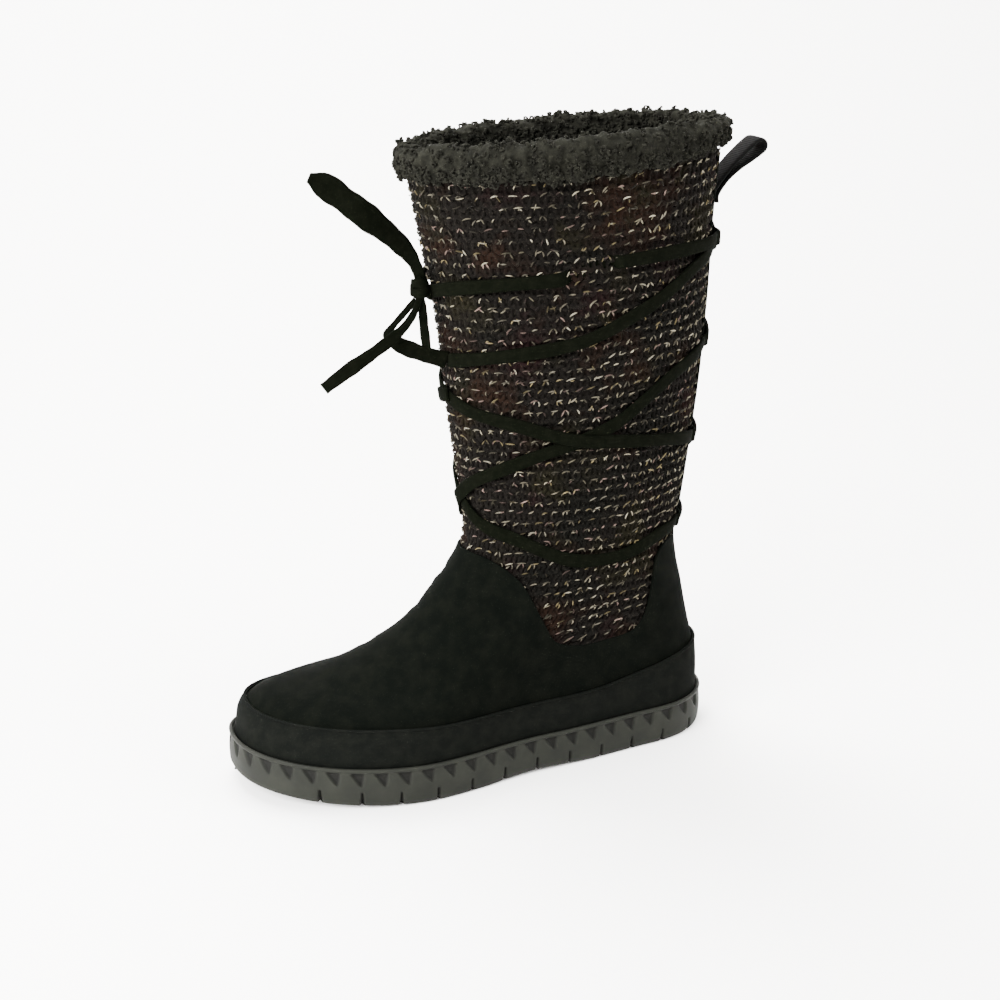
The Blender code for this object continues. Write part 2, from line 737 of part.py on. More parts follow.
def lace_depth(column):
    """Inner face of the lace over the form: it climbs over the backstay."""
    away = min(column % COLUMNS, -column % COLUMNS)
    over_strip = FIT_GAP + BACKSTAY_WALL if away <= STRIP_COLUMNS else 0.0
    return 2 * FIT_GAP + over_strip


def band_heights(outer_turns, inner_turns, first, last):
    """Lace height per column: outer side up to the front, inner side mirrored beyond it."""
    heights = {}
    for column in range(first, last + 1):
        angle = clamp(math.degrees(column_angle(column)), 0, 360)
        if angle <= 180:
            heights[column] = turn_height(outer_turns, angle)
        else:
            heights[column] = turn_height(inner_turns, 360 - angle)
    return heights


def build_band(name, heights, lift, material):
    """One run of flat lace round the boot, its edges square to its own slope."""
    columns = sorted(heights)
    outer = []
    inner = []
    for column in columns:
        before = max(column - 1, columns[0])
        after = min(column + 1, columns[-1])
        centre, normal, rise = column_frame(column, heights[column])
        start = column_frame(before, heights[before])[0]
        end = column_frame(after, heights[after])[0]
        slope = (end - start).normalized()
        spread = LACE_WIDTH / 2 / max(math.sqrt(1 - slope.z ** 2), 0.5)
        low = column_frame(column, heights[column] - spread)
        high = column_frame(column, heights[column] + spread)
        depth = lace_depth(column) + lift
        inner.append([low[0] + low[1] * depth, high[0] + high[1] * depth])
        depth += LACE_THICKNESS
        outer.append([low[0] + low[1] * depth, high[0] + high[1] * depth])
    return slab(name, outer, inner, material)


def build_lace_wraps(material):
    """Lace round the shaft: its runs and crossings are one joined body."""
    closed = COLUMNS + 1
    runs = (
        band_heights(LOW_BAND, LOW_FALL, -1, closed),
        band_heights(LOW_FALL, LOW_BAND, -1, closed),
        band_heights(MIDDLE_BAND, INNER_RISE, -1, closed),
        band_heights(HIGH_FALL, HIGH_FALL, -1, HALF - 1),
        band_heights(MIDDLE_BAND, MIDDLE_BAND, HALF - 1, closed),
        band_heights(TOP_BAND, TOP_BAND, -1, HALF),
        band_heights(TOP_BAND, TOP_BAND, HALF - 1, closed),
    )
    bands = []
    for number, heights in enumerate(runs):
        name = "lace run %d" % number if number else "lace_wraps"
        lift = number * LACE_STEP
        raised = {column: height + lift for column, height in heights.items()}
        bands.append(build_band(name, raised, lift, material))
    others = bpy.data.collections.new("lace runs to join")
    for run in bands[1:]:
        run.hide_render = True
        run.display_type = "WIRE"
        others.objects.link(run)
    union = bands[0].modifiers.new("join the runs", "BOOLEAN")
    union.operation = "UNION"
    union.operand_type = "COLLECTION"
    union.collection = others
    return bands[0]


def build_keeper(name, share, material):
    """Small strap on the backstay that holds the lace, its two feet on the strip."""
    room = LACE_WIDTH / 2 + KEEPER_ROOM
    arch = LACE_THICKNESS + (LACE_RUNS + 1) * LACE_STEP + 2 * FIT_GAP
    foot = room + KEEPER_FOOT
    height = rise_height(share)
    line = [column_frame(0, height + part * foot)[0] for part in (-1, -0.5, 0, 0.5, 1)]
    centre = line[0].lerp(line[-1], 0.5)
    rise = (line[-1] - line[0]).normalized()
    normal = Vector((rise.z, 0, -rise.x))
    bulge = max((point - centre).dot(normal) for point in line)
    seat = bulge + BACKSTAY_WALL + 2.5 * FIT_GAP
    profile = (
        (-foot, 0), (-foot, KEEPER_THICKNESS), (-room, arch + KEEPER_THICKNESS),
        (room, arch + KEEPER_THICKNESS), (foot, KEEPER_THICKNESS), (foot, 0),
        (room + 0.4 * KEEPER_FOOT, 0), (room - 0.2 * MM, arch),
        (0.2 * MM - room, arch), (-room - 0.4 * KEEPER_FOOT, 0),
    )
    sides = []
    for side in (-KEEPER_WIDTH / 2, KEEPER_WIDTH / 2):
        across = Vector((0, side, 0))
        sides.append([centre + rise * u + normal * (seat + o) + across for u, o in profile])
    count = len(profile)
    vertices = sides[0] + sides[1]
    faces = [tuple(range(count)), tuple(range(2 * count - 1, count - 1, -1))]
    for i in range(count):
        after = (i + 1) % count
        faces.append((i, after, count + after, count + i))
    thing = new_object(name, vertices, faces, material)
    face_outwards(thing)
    return thing


def build_pull_loop(material):
    """Webbing folded into a flat loop, sewn on the backstay and standing out behind it."""
    seat, normal, rise = column_frame(0, rise_height(LOOP_FOOT_RISE))
    seat += normal * (FIT_GAP + BACKSTAY_WALL + FIT_GAP)
    half = LOOP_SLIT / 2 + LOOP_THICKNESS
    middle = [(half + out * LOOP_REACH, up * LOOP_REACH) for out, up in LOOP_LINE]
    outer = []
    inner = []
    for side in (-1, 1):
        edge = []
        for i, (out, up) in enumerate(middle):
            before = middle[max(i - 1, 0)]
            after = middle[min(i + 1, len(middle) - 1)]
            turn = math.atan2(after[1] - before[1], after[0] - before[0])
            edge.append((out, up, -side * math.sin(turn), side * math.cos(turn)))
        for out, up, across_out, across_up in edge if side < 0 else reversed(edge):
            spots = []
            for depth in (half, LOOP_SLIT / 2):
                place = seat + normal * (out + across_out * depth) + rise * (up + across_up * depth)
                spots.append([place - Vector((0, LOOP_WIDTH / 2, 0)),
                              place + Vector((0, LOOP_WIDTH / 2, 0))])
            outer.append(spots[0])
            inner.append(spots[1])
        if side < 0:
            turn = math.atan2(middle[-1][1] - middle[-2][1], middle[-1][0] - middle[-2][0])
            for lines, depth in ((outer, half), (inner, LOOP_SLIT / 2)):
                place = seat + normal * (middle[-1][0] + math.cos(turn) * depth)
                place += rise * (middle[-1][1] + math.sin(turn) * depth)
                lines.append([place - Vector((0, LOOP_WIDTH / 2, 0)),
                              place + Vector((0, LOOP_WIDTH / 2, 0))])
    return slab("pull_loop", outer, inner, material)


def knot_place():
    """Middle of the knot, in front of the top run of lace."""
    spot, normal, rise = column_frame(HALF, rise_height(TOP_BAND[-1].up))
    clear = 3 * FIT_GAP + LACE_THICKNESS + LACE_RUNS * LACE_STEP
    return spot + normal * (clear + KNOT_RADIUS) + rise * KNOT_LIFT


def build_knot(material):
    """The knot at the front, a soft lump a little wider than high."""
    bm = bmesh.new()
    bmesh.ops.create_icosphere(bm, subdivisions=2, radius=KNOT_RADIUS)
    bmesh.ops.scale(bm, vec=(1, 1, 1.15), verts=bm.verts)
    bmesh.ops.translate(bm, vec=knot_place(), verts=bm.verts)
    mesh = bpy.data.meshes.new("lace_knot")
    bm.to_mesh(mesh)
    bm.free()
    mesh.materials.append(material)
    mesh.shade_smooth()
    knot = bpy.data.objects.new("lace_knot", mesh)
    bpy.context.scene.collection.objects.link(knot)
    return knot


def build_cord(name, route, material):
    """Free run of lace as a plain tube through points of a smooth curve along its route."""
    points = []
    for i in range(len(route) - 1):
        before = route[max(i - 1, 0)]
        after = route[min(i + 2, len(route) - 1)]
        steps = max(1, round(math.dist(route[i], route[i + 1]) / (2.5 * CORD_DIAMETER)))
        for step in range(steps):
            values = zip(before, route[i], route[i + 1], after)
            points.append([smooth_between(*four, step / steps) for four in values])
    points.append(route[-1])
    curve = bpy.data.curves.new(name, "CURVE")
    curve.dimensions = "3D"
    curve.bevel_depth = CORD_DIAMETER / 2
    curve.bevel_resolution = 2
    curve.use_fill_caps = True
    spline = curve.splines.new("POLY")
    spline.points.add(len(points) - 1)
    for target, point in zip(spline.points, points):
        target.co = (*point, 1)
    curve.materials.append(material)
    cord = bpy.data.objects.new(name, curve)
    bpy.context.scene.collection.objects.link(cord)
    return cord


def main():
    for thing in list(bpy.data.objects):
        bpy.data.objects.remove(thing, do_unlink=True)
    rubber = new_material("moulded rubber", (0.058, 0.058, 0.052), 0.55)
    felt = new_material("felted footbed", (0.03, 0.028, 0.027), 0.95)
    knit = new_material("chunky knit", (0.055, 0.048, 0.042), 0.9)
    suede = new_material("black suede", (0.012, 0.012, 0.011), 0.8)
    rand_suede = new_material("black suede rand", (0.014, 0.014, 0.013), 0.75)
    pile = new_material("curly pile", (0.04, 0.037, 0.034), 0.95)
    tape = new_material("flat lace", (0.01, 0.01, 0.01), 0.8)
    webbing = new_material("black webbing", (0.01, 0.01, 0.01), 0.7)

    build_outsole(rubber)
    build_insole(felt)
    build_upper(knit)
    shell = build_layer("foot_shell", ANKLE_LEVEL, FIT_GAP, SHELL_WALL, suede)
    cut(shell, side_guide("shell edge guide", SHELL_EDGE))
    rand = build_layer("rand", RAND_LEVEL, RAND_DEPTH, RAND_WALL, rand_suede)
    cut(rand, side_guide("rand edge guide", RAND_EDGE))
    build_backstay(suede)
    build_cuff(pile)
    build_lace_wraps(tape)
    for number, share in enumerate(KEEPER_RISES, start=1):
        build_keeper("lace_keeper_%d" % number, share, webbing)
    build_pull_loop(webbing)
    build_knot(tape)
    build_cord("lace_end_up", END_UP_ROUTE, tape)
    build_cord("lace_end_down", END_DOWN_ROUTE, tape)
    build_cord("lace_loop", LOOP_ROUTE, tape)


main()
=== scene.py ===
import math

import bpy
import numpy as np
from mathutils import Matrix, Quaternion, Vector, noise
from mathutils.kdtree import KDTree


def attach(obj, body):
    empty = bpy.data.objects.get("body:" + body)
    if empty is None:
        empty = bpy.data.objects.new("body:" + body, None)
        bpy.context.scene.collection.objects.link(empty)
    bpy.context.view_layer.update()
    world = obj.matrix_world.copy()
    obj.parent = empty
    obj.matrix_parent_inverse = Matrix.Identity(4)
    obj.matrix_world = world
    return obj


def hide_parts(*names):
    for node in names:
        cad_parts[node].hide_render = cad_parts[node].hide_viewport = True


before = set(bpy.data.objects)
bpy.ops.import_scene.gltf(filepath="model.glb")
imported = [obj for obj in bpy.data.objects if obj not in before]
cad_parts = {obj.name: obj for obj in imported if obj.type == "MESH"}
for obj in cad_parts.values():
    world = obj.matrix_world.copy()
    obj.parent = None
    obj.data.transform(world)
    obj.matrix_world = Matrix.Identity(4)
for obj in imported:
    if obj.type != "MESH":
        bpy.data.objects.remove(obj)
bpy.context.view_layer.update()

# Looks of a left mukluk boot: knitted shaft, wound flat lace, suede foot, curly pile cuff.
# Metres, in the part's own frame: +Z up, toe to -X, outer side of the foot to -Y.
mm = 0.001
bpy.ops.object.select_all(action="DESELECT")
dice = np.random.default_rng(7)  # seeded, so that every run is the same

# ---- camera: a product view from the outer side, a little from the front and above
cameraSettings = {
    "target": (-0.07843, 0.00481, 0.14634),
    "towardsCamera": (-0.3866, -0.8605, 0.3317),
    "distance": 1.0,
    "lens": 64.8,  # mm on a 36 mm sensor
    "roll": 0.589,  # degrees
}


def makeCamera(settings):
    back = Vector(settings["towardsCamera"]).normalized()
    place = Vector(settings["target"]) + back * settings["distance"]
    turned = back.to_track_quat("Z", "Y") @ Quaternion((0, 0, 1), math.radians(settings["roll"]))
    bpy.ops.object.camera_add(location=place, rotation=turned.to_euler())
    camera = bpy.context.object
    camera.data.lens = settings["lens"]
    camera.data.sensor_width = 36
    camera.data.clip_start = 0.01
    bpy.context.scene.camera = camera


makeCamera(cameraSettings)
print("camera placed")

# ---- the last, the foot form under every layer; the sizes are those of the solids
lastSizes = {
    "length": 269 * mm, "width": 93 * mm, "instep": 125 * mm, "shaft": 200 * mm,
    "collar": 112 * mm, "toeLean": 12 * mm, "toeSpring": 7 * mm, "heelToOrigin": 40.8 * mm,
    "base": 21.1 * mm,
}
# back, its rise, front, its rise, half widths of heel, waist out, waist in, ball out, ball in,
# share of the heel's rounding, of the toe's rounding, and its power
footSections = (
    (0.000, 0.000, 1.000, 0.000, 0.345, 0.413, 0.330, 0.518, 0.482, 0.15, 0.36, 2.35),
    (0.002, 0.110, 0.992, 0.110, 0.360, 0.420, 0.345, 0.520, 0.485, 0.16, 0.36, 2.35),
    (0.004, 0.185, 0.974, 0.176, 0.360, 0.410, 0.350, 0.505, 0.465, 0.17, 0.37, 2.30),
    (0.008, 0.265, 0.934, 0.227, 0.355, 0.395, 0.345, 0.470, 0.430, 0.19, 0.40, 2.20),
    (0.017, 0.345, 0.850, 0.276, 0.350, 0.375, 0.345, 0.430, 0.390, 0.22, 0.43, 2.10),
    (0.027, 0.435, 0.752, 0.361, 0.345, 0.360, 0.345, 0.400, 0.370, 0.25, 0.45, 2.05),
    (0.038, 0.540, 0.657, 0.483, 0.345, 0.355, 0.350, 0.380, 0.360, 0.29, 0.47, 2.00),
    (0.053, 0.670, 0.583, 0.655, 0.345, 0.360, 0.355, 0.365, 0.355, 0.34, 0.48, 2.00),
    (0.060, 0.810, 0.535, 0.805, 0.350, 0.365, 0.360, 0.360, 0.355, 0.40, 0.49, 2.00),
    (0.046, 0.960, 0.527, 0.960, 0.360, 0.375, 0.370, 0.370, 0.365, 0.46, 0.50, 2.00),
)
shaftSections = (
    (0.033, 0.12, 0.543, 0.12, 0.325, 0.335, 0.330, 0.335, 0.330, 0.48, 0.50, 2.00),
    (0.018, 0.32, 0.564, 0.31, 0.365, 0.370, 0.365, 0.370, 0.365, 0.50, 0.50, 2.00),
    (0.010, 0.56, 0.582, 0.52, 0.415, 0.415, 0.415, 0.415, 0.415, 0.50, 0.50, 2.00),
    (0.007, 0.80, 0.618, 0.762, 0.455, 0.455, 0.455, 0.455, 0.455, 0.50, 0.50, 2.00),
    (-0.004, 1.01, 0.649, 0.96, 0.490, 0.490, 0.490, 0.490, 0.490, 0.50, 0.50, 2.00),
)


def shaftHeight(share):  # 0 at the shaft's foot, 1 at the collar
    return lastSizes["base"] + lastSizes["instep"] + share * lastSizes["shaft"]


def realSections():
    rows = []
    for table, height, width, floor in (
        (footSections, lastSizes["instep"], lastSizes["width"], lastSizes["base"]),
        (shaftSections, lastSizes["shaft"], lastSizes["collar"], shaftHeight(0)),
    ):
        for row in table:
            rows.append((
                row[0] * lastSizes["length"], floor + row[1] * height,
                row[2] * lastSizes["length"], floor + row[3] * height,
                *(value * width for value in row[4:9]), *row[9:],
            ))
    return np.array(rows)


sections = realSections()
topLevel = len(sections) - 1.0
cuffLevel = topLevel - 0.32


def ease(value):
    share = np.clip(value, 0, 1)
    return share * share * (3 - 2 * share)


def smoothBetween(before, start, end, after, share):
    return 0.5 * (
        2 * start + (end - before) * share
        + (2 * before - 5 * start + 4 * end - after) * share ** 2
        + (3 * start - before - 3 * end + after) * share ** 3
    )


def sectionAt(level):
    row = np.clip(np.floor(level).astype(int), 0, len(sections) - 2)
    share = (level - row)[..., None]
    return smoothBetween(
        sections[np.maximum(row - 1, 0)], sections[row], sections[row + 1],
        sections[np.minimum(row + 2, len(sections) - 1)], share,
    )


def capped(distance, length, power):
    share = np.clip(1 - distance / length, 0, 1)
    return (1 - share ** power) ** (1 / power)


def alongAt(x):  # distance from the back of the heel towards the toe
    return lastSizes["heelToOrigin"] - x


def springAt(along):
    share = np.clip((along / lastSizes["length"] - 0.66) / 0.34, 0, 1.1)
    return lastSizes["toeSpring"] * share * share


def seatLift(along):  # at the toe the seat rises less than the tread
    return 0.75 * springAt(along)


def leanAt(along, most=None):
    return lastSizes["toeLean"] * np.clip((along / lastSizes["length"] - 0.55) / 0.45, 0, most) ** 2


def formPoint(level, angle):  # a level counts rows of the tables, an angle is in radians
    level, angle = np.broadcast_arrays(np.asarray(level, float), np.asarray(angle, float))
    section = sectionAt(level)
    share = (1 - np.cos(angle)) / 2
    outerSide = np.sin(angle) >= 0
    waist = np.where(outerSide, section[..., 5], section[..., 6])
    ball = np.where(outerSide, section[..., 7], section[..., 8])
    width = section[..., 4] + (waist - section[..., 4]) * ease((share - 0.10) / 0.32)
    width = width + (ball - waist) * ease((share - 0.40) / 0.32)
    width = width * capped(share, section[..., 9], 2.1)
    width = width * capped(1 - share, section[..., 10], section[..., 11])
    along = section[..., 0] + (section[..., 2] - section[..., 0]) * share
    up = section[..., 1] + (section[..., 3] - section[..., 1]) * share
    lean = leanAt(along)
    fade = np.clip(1 - (up - lastSizes["base"]) / (0.75 * lastSizes["instep"]), 0, 1)
    side = np.where(outerSide, lean - width, lean + width)
    return np.stack((lastSizes["heelToOrigin"] - along, side, up + seatLift(along) * fade), axis=-1)


def unit(vectors):
    return vectors / np.maximum(np.linalg.norm(vectors, axis=-1, keepdims=True), 1e-12)


def formNormal(level, angle):
    level, angle = np.broadcast_arrays(np.asarray(level, float), np.asarray(angle, float))
    step = 0.02
    around = formPoint(level, angle + step) - formPoint(level, angle - step)
    rise = formPoint(np.minimum(level + step, topLevel), angle)
    rise = rise - formPoint(np.maximum(level - step, 0), angle)
    normal = np.cross(rise, around)
    normal[..., 2] *= np.clip(level - 0.5, 0, 1)
    return unit(normal)


def baseHeight(x):
    return lastSizes["base"] + seatLift(alongAt(x))


def onForm(level, angle, offset):  # a point over the last; the lowest ring keeps to the seat
    spot = formPoint(level, angle) + formNormal(level, angle) * np.asarray(offset)[..., None]
    low = np.clip(1 - np.broadcast_to(np.asarray(level, float), spot.shape[:-1]), 0, 1)
    spot[..., 2] = spot[..., 2] * (1 - low) + baseHeight(spot[..., 0]) * low
    return spot


# angles at even steps round each level, so that stitches and curls keep their width
levelSteps = np.linspace(0, topLevel, 169)
roundSteps = np.linspace(0, 1, 721)
ringTable = formPoint(levelSteps[:, None], 2 * np.pi * roundSteps[None, :])
arcTable = np.linalg.norm(np.diff(ringTable, axis=1), axis=-1).cumsum(axis=1)
arcTable = np.concatenate((np.zeros((len(levelSteps), 1)), arcTable), axis=1)
angleTable = np.array([
    np.interp(roundSteps, arc / arc[-1], 2 * np.pi * roundSteps) for arc in arcTable
])
meanRises = ringTable[:, :-1, 2].mean(axis=1)


def angleAt(level, turn):
    level, turn = np.broadcast_arrays(np.asarray(level, float), np.asarray(turn, float))
    whole = np.floor(turn)
    row = np.clip(level / topLevel * (len(levelSteps) - 1), 0, len(levelSteps) - 1.001)
    column = np.clip((turn - whole) * (len(roundSteps) - 1), 0, len(roundSteps) - 1.001)
    r, c = row.astype(int), column.astype(int)
    fr, fc = row - r, column - c
    low = angleTable[r, c] * (1 - fc) + angleTable[r, c + 1] * fc
    high = angleTable[r + 1, c] * (1 - fc) + angleTable[r + 1, c + 1] * fc
    return low * (1 - fr) + high * fr + 2 * np.pi * whole


def levelAtRise(rise):
    return np.interp(rise, meanRises, levelSteps)


riseColumns = np.linspace(0, 2 * np.pi, 361)
riseTable = formPoint(levelSteps[:, None], riseColumns[None, :])[..., 2]


def levelAtHeight(angle, height):  # from the instep's bend up, where heights grow with levels
    bendLevel = 5
    first = int(bendLevel / topLevel * (len(levelSteps) - 1))
    turned = np.mod(angle, 2 * np.pi)
    column = np.clip(turned / (2 * np.pi) * 360, 0, 359.999)
    c = column.astype(int)
    share = column - c
    result = np.empty(len(column))
    for i in range(len(column)):
        heights = riseTable[first:, c[i]] * (1 - share[i]) + riseTable[first:, c[i] + 1] * share[i]
        result[i] = np.interp(height[i], heights, levelSteps[first:])
    return result


# upper edges in side view, heel to toe: shares of the last's length and of the instep's height
shellEdge = np.array((
    (-0.10, 0.785), (0.060, 0.785), (0.105, 0.783), (0.138, 0.73), (0.152, 0.60), (0.168, 0.475),
    (0.200, 0.405), (0.255, 0.386), (0.322, 0.379), (0.380, 0.415), (0.407, 0.505), (0.430, 0.61),
    (0.455, 0.71), (0.495, 0.785), (0.540, 0.820), (0.640, 0.83),
))
randEdge = np.array((
    (-0.10, 0.265), (0.070, 0.243), (0.165, 0.213), (0.285, 0.172), (0.405, 0.166),
    (0.520, 0.166), (0.640, 0.169), (0.740, 0.179), (0.835, 0.188), (0.920, 0.199), (1.060, 0.220),
))


def smoothLine(points, steps):
    points = np.asarray(points, float)
    rows = []
    for i in range(len(points) - 1):
        four = (points[max(i - 1, 0)], points[i], points[i + 1],
                points[min(i + 2, len(points) - 1)])
        rows += [smoothBetween(*four, step / steps) for step in range(steps)]
    rows.append(points[-1])
    return np.array(rows)


def edgeHeight(edge, x):
    line = smoothLine(edge, 12)
    order = np.argsort(line[:, 0])
    share = np.interp(alongAt(x) / lastSizes["length"], line[order, 0], line[order, 1])
    return lastSizes["base"] + share * lastSizes["instep"]


def edgeLevel(edge, angles, offset, top):  # level at which a layer meets its upper edge
    levels = np.linspace(0.2, top, 260)
    spots = onForm(levels[:, None], angles[None, :], offset)
    over = spots[..., 2] - edgeHeight(edge, spots[..., 0])
    result = np.full(len(angles), float(top))
    for column in range(len(angles)):
        above = np.nonzero(over[:, column] > 0)[0]
        if len(above) and above[0] > 0:
            i = above[0]
            share = over[i - 1, column] / (over[i - 1, column] - over[i, column])
            result[column] = levels[i - 1] + share * (levels[i] - levels[i - 1])
    return result


# ---- helpers for pieces and materials
def linear(hexColour):
    parts = [int(hexColour[i:i + 2], 16) / 255 for i in (1, 3, 5)]
    return (*(p / 12.92 if p <= 0.04045 else ((p + 0.055) / 1.055) ** 2.4 for p in parts), 1)


def addNode(tree, kind, settings=None, links=None):
    made = tree.nodes.new(kind)
    for key, value in (settings or {}).items():
        if isinstance(key, int) or key in made.inputs:
            made.inputs[key].default_value = value
        else:
            setattr(made, key, value)
    for key, source in (links or {}).items():
        tree.links.new(source, made.inputs[key])
    return made


def newMaterial(name, settings):  # also gives the object's own coordinates, in metres
    material = bpy.data.materials.new(name)
    material.use_nodes = True
    tree = material.node_tree
    shader = tree.nodes["Principled BSDF"]
    for key, value in settings.items():
        shader.inputs[key].default_value = value
    return material, tree, shader, addNode(tree, "ShaderNodeTexCoord").outputs["Object"]


def wrapped(name, points):  # a primitive grid laid on rows x columns of points, its seams merged
    rows, columns = points.shape[:2]
    bpy.ops.mesh.primitive_grid_add(x_subdivisions=columns - 1, y_subdivisions=rows - 1, size=1)
    piece = bpy.context.object
    piece.name = name
    piece.data.name = name
    piece.data.vertices.foreach_set("co", np.ascontiguousarray(points, float).reshape(-1))
    bpy.ops.object.mode_set(mode="EDIT")
    bpy.ops.mesh.select_all(action="SELECT")
    bpy.ops.mesh.remove_doubles(threshold=0.00001)
    bpy.ops.mesh.normals_make_consistent(inside=False)
    bpy.ops.object.mode_set(mode="OBJECT")
    bpy.ops.object.shade_smooth()
    piece.select_set(False)
    return piece


def strands(name, lines, radius, sides, closed=False, shape=None):  # many tubes as one mesh
    curve = bpy.data.curves.new(name, "CURVE")
    curve.dimensions = "3D"
    curve.bevel_depth = radius
    curve.bevel_resolution = {4: 0, 6: 1, 8: 2}[sides]
    curve.use_fill_caps = not closed
    for line in lines:
        spline = curve.splines.new("POLY")
        spline.points.add(len(line) - 1)
        spline.points.foreach_set("co", np.c_[line, np.ones(len(line))].reshape(-1))
        if shape is not None:
            spline.points.foreach_set("radius", shape)
        spline.use_cyclic_u = closed
    piece = bpy.data.objects.new(name, curve)
    bpy.context.scene.collection.objects.link(piece)
    piece.select_set(True)
    bpy.context.view_layer.objects.active = piece
    bpy.ops.object.convert(target="MESH")
    bpy.ops.object.shade_smooth()
    piece.select_set(False)
    return bpy.context.object


def finishPiece(piece, material, slot, *nodes):
    piece.data.materials.clear()
    piece.data.materials.append(material)
    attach(piece, "root")
    if nodes:
        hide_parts(*nodes)


def band(name, path, across, over, width, thickness, roundness=0.6, sides=12):
    # a flat band along a path; its section is a rounded bar that closes at both ends
    turn = np.linspace(0, 2 * np.pi, sides + 1)
    flat = np.sign(np.cos(turn)) * np.abs(np.cos(turn)) ** roundness
    deep = np.sign(np.sin(turn)) * np.abs(np.sin(turn)) ** roundness
    width = np.broadcast_to(width, len(path))
    thickness = np.broadcast_to(thickness, len(path))
    rings = (path[:, None] + across[:, None] * flat[None, :, None] * width[:, None, None] / 2
             + over[:, None] * deep[None, :, None] * thickness[:, None, None] / 2)
    first = np.repeat(path[:1, None], sides + 1, axis=1)
    last = np.repeat(path[-1:, None], sides + 1, axis=1)
    return wrapped(name, np.concatenate((first, rings, last)))


def heading(path):
    return unit(np.gradient(path, axis=0))


# ---- materials: noise scales are in waves to a metre
def mottle(tree, place, pattern, low, high, first, second):
    # patches of a second colour over the first one, which is a hex value or comes from a node
    patches = addNode(tree, "ShaderNodeTexNoise", pattern, {"Vector": place})
    spread = addNode(tree, "ShaderNodeMapRange", {1: low, 2: high}, {0: patches.outputs[0]})
    mixed = addNode(tree, "ShaderNodeMix", {"data_type": "RGBA", 7: linear(second)},
                    {0: spread.outputs[0]})
    if isinstance(first, str):
        mixed.inputs[6].default_value = linear(first)
    else:
        tree.links.new(first, mixed.inputs[6])
    return mixed.outputs[2]


def fineGrain(tree, shader, place, scale, detail, strength, depth):
    # fibres or mould grain, raised by depth in mm
    grain = addNode(tree, "ShaderNodeTexNoise", {"Scale": scale, "Detail": detail},
                    {"Vector": place})
    bump = addNode(tree, "ShaderNodeBump", {"Strength": strength, "Distance": depth * mm},
                   {"Height": grain.outputs[0]})
    tree.links.new(bump.outputs[0], shader.inputs["Normal"])


def makeSuede(name, deep, worn, nap):
    # brushed split leather: a dull, deep surface whose nap lies in soft lighter patches
    material, tree, shader, place = newMaterial(name, {
        "Roughness": 0.95, "Specular IOR Level": 0.01})
    colour = mottle(tree, place, {"Scale": 1000 / nap, "Detail": 4.0, "Roughness": 0.65},
                    0.4, 0.75, deep, worn)
    tree.links.new(colour, shader.inputs["Base Color"])
    fineGrain(tree, shader, place, 1900.0, 3.0, 0.35, 0.3)  # fibres of about 0.5 mm
    return material


def makeRubber():
    # moulded rubber: dark warm grey, dull, with a faint grain of the mould and painted shade in the
    # low parts
    material, tree, shader, place = newMaterial("mouldedRubber", {
        "Roughness": 0.7, "Specular IOR Level": 0.07})
    colour = mottle(tree, place, {"Scale": 60.0, "Detail": 5.0, "Roughness": 0.6},
                    0.35, 0.7, "#10110e", "#161713")
    # painted shade: the "depth" colour darkens grooves, notches and recesses towards #060605
    deep = addNode(tree, "ShaderNodeAttribute", {"attribute_name": "depth"})
    paintedShadeMix = addNode(tree, "ShaderNodeMix", {"data_type": "RGBA", 7: linear("#060605")},
                     {0: deep.outputs["Fac"], 6: colour})
    tree.links.new(paintedShadeMix.outputs[2], shader.inputs["Base Color"])
    fineGrain(tree, shader, place, 1600.0, 2.0, 0.2, 0.2)  # mould grain of about 0.6 mm
    return material


def makeYarn():
    # woollen tweed yarn: fuzzy and matt, nearly black with stretches of brown, olive and wine
    material, tree, shader, place = newMaterial("tweedYarn", {
        "Roughness": 0.95, "Specular IOR Level": 0.03, "Sheen Weight": 0.01,
        "Sheen Roughness": 0.6, "Sheen Tint": linear("#8a7f70")})
    colour = "#070605"
    for tint, size, low, shift in (
        ("#0f0805", 34.0, 0.52, 0.0), ("#0b0a05", 27.0, 0.55, 3.1),
        ("#0d0606", 30.0, 0.58, 7.7), ("#050504", 55.0, 0.5, 11.3),
    ):
        moved = addNode(tree, "ShaderNodeMapping", {"Location": (shift, shift, shift)},
                        {"Vector": place})
        colour = mottle(tree, moved.outputs[0], {"Scale": 1 / (size * mm), "Detail": 3.0},
                        low, low + 0.12, colour, tint)
    colour = mottle(tree, place, {"Scale": 900.0, "Detail": 2.0}, 0.56, 0.72, colour,
                    "#13110e")  # single fibres, about 1 mm
    tree.links.new(colour, shader.inputs["Base Color"])
    fineGrain(tree, shader, place, 1300.0, 3.0, 0.6, 0.5)
    return material


def makeLightPly():
    # the thin light ply of the yarn: each fleck keeps the shade it was spun with
    material, tree, shader, place = newMaterial("lightPly", {
        "Roughness": 0.9, "Specular IOR Level": 0.06})
    shade = addNode(tree, "ShaderNodeAttribute", {"attribute_name": "shade"})
    fibres = addNode(tree, "ShaderNodeTexNoise", {"Scale": 1500.0, "Detail": 2.0},
                     {"Vector": place})
    spread = addNode(tree, "ShaderNodeMapRange", {1: 0.3, 2: 0.7, 3: 0.55, 4: 1.1},
                     {0: fibres.outputs[0]})
    mixed = addNode(tree, "ShaderNodeMix", {"data_type": "RGBA", "blend_type": "MULTIPLY", 0: 1.0},
                    {6: shade.outputs["Color"], 7: spread.outputs[0]})
    tree.links.new(mixed.outputs[2], shader.inputs["Base Color"])
    return material


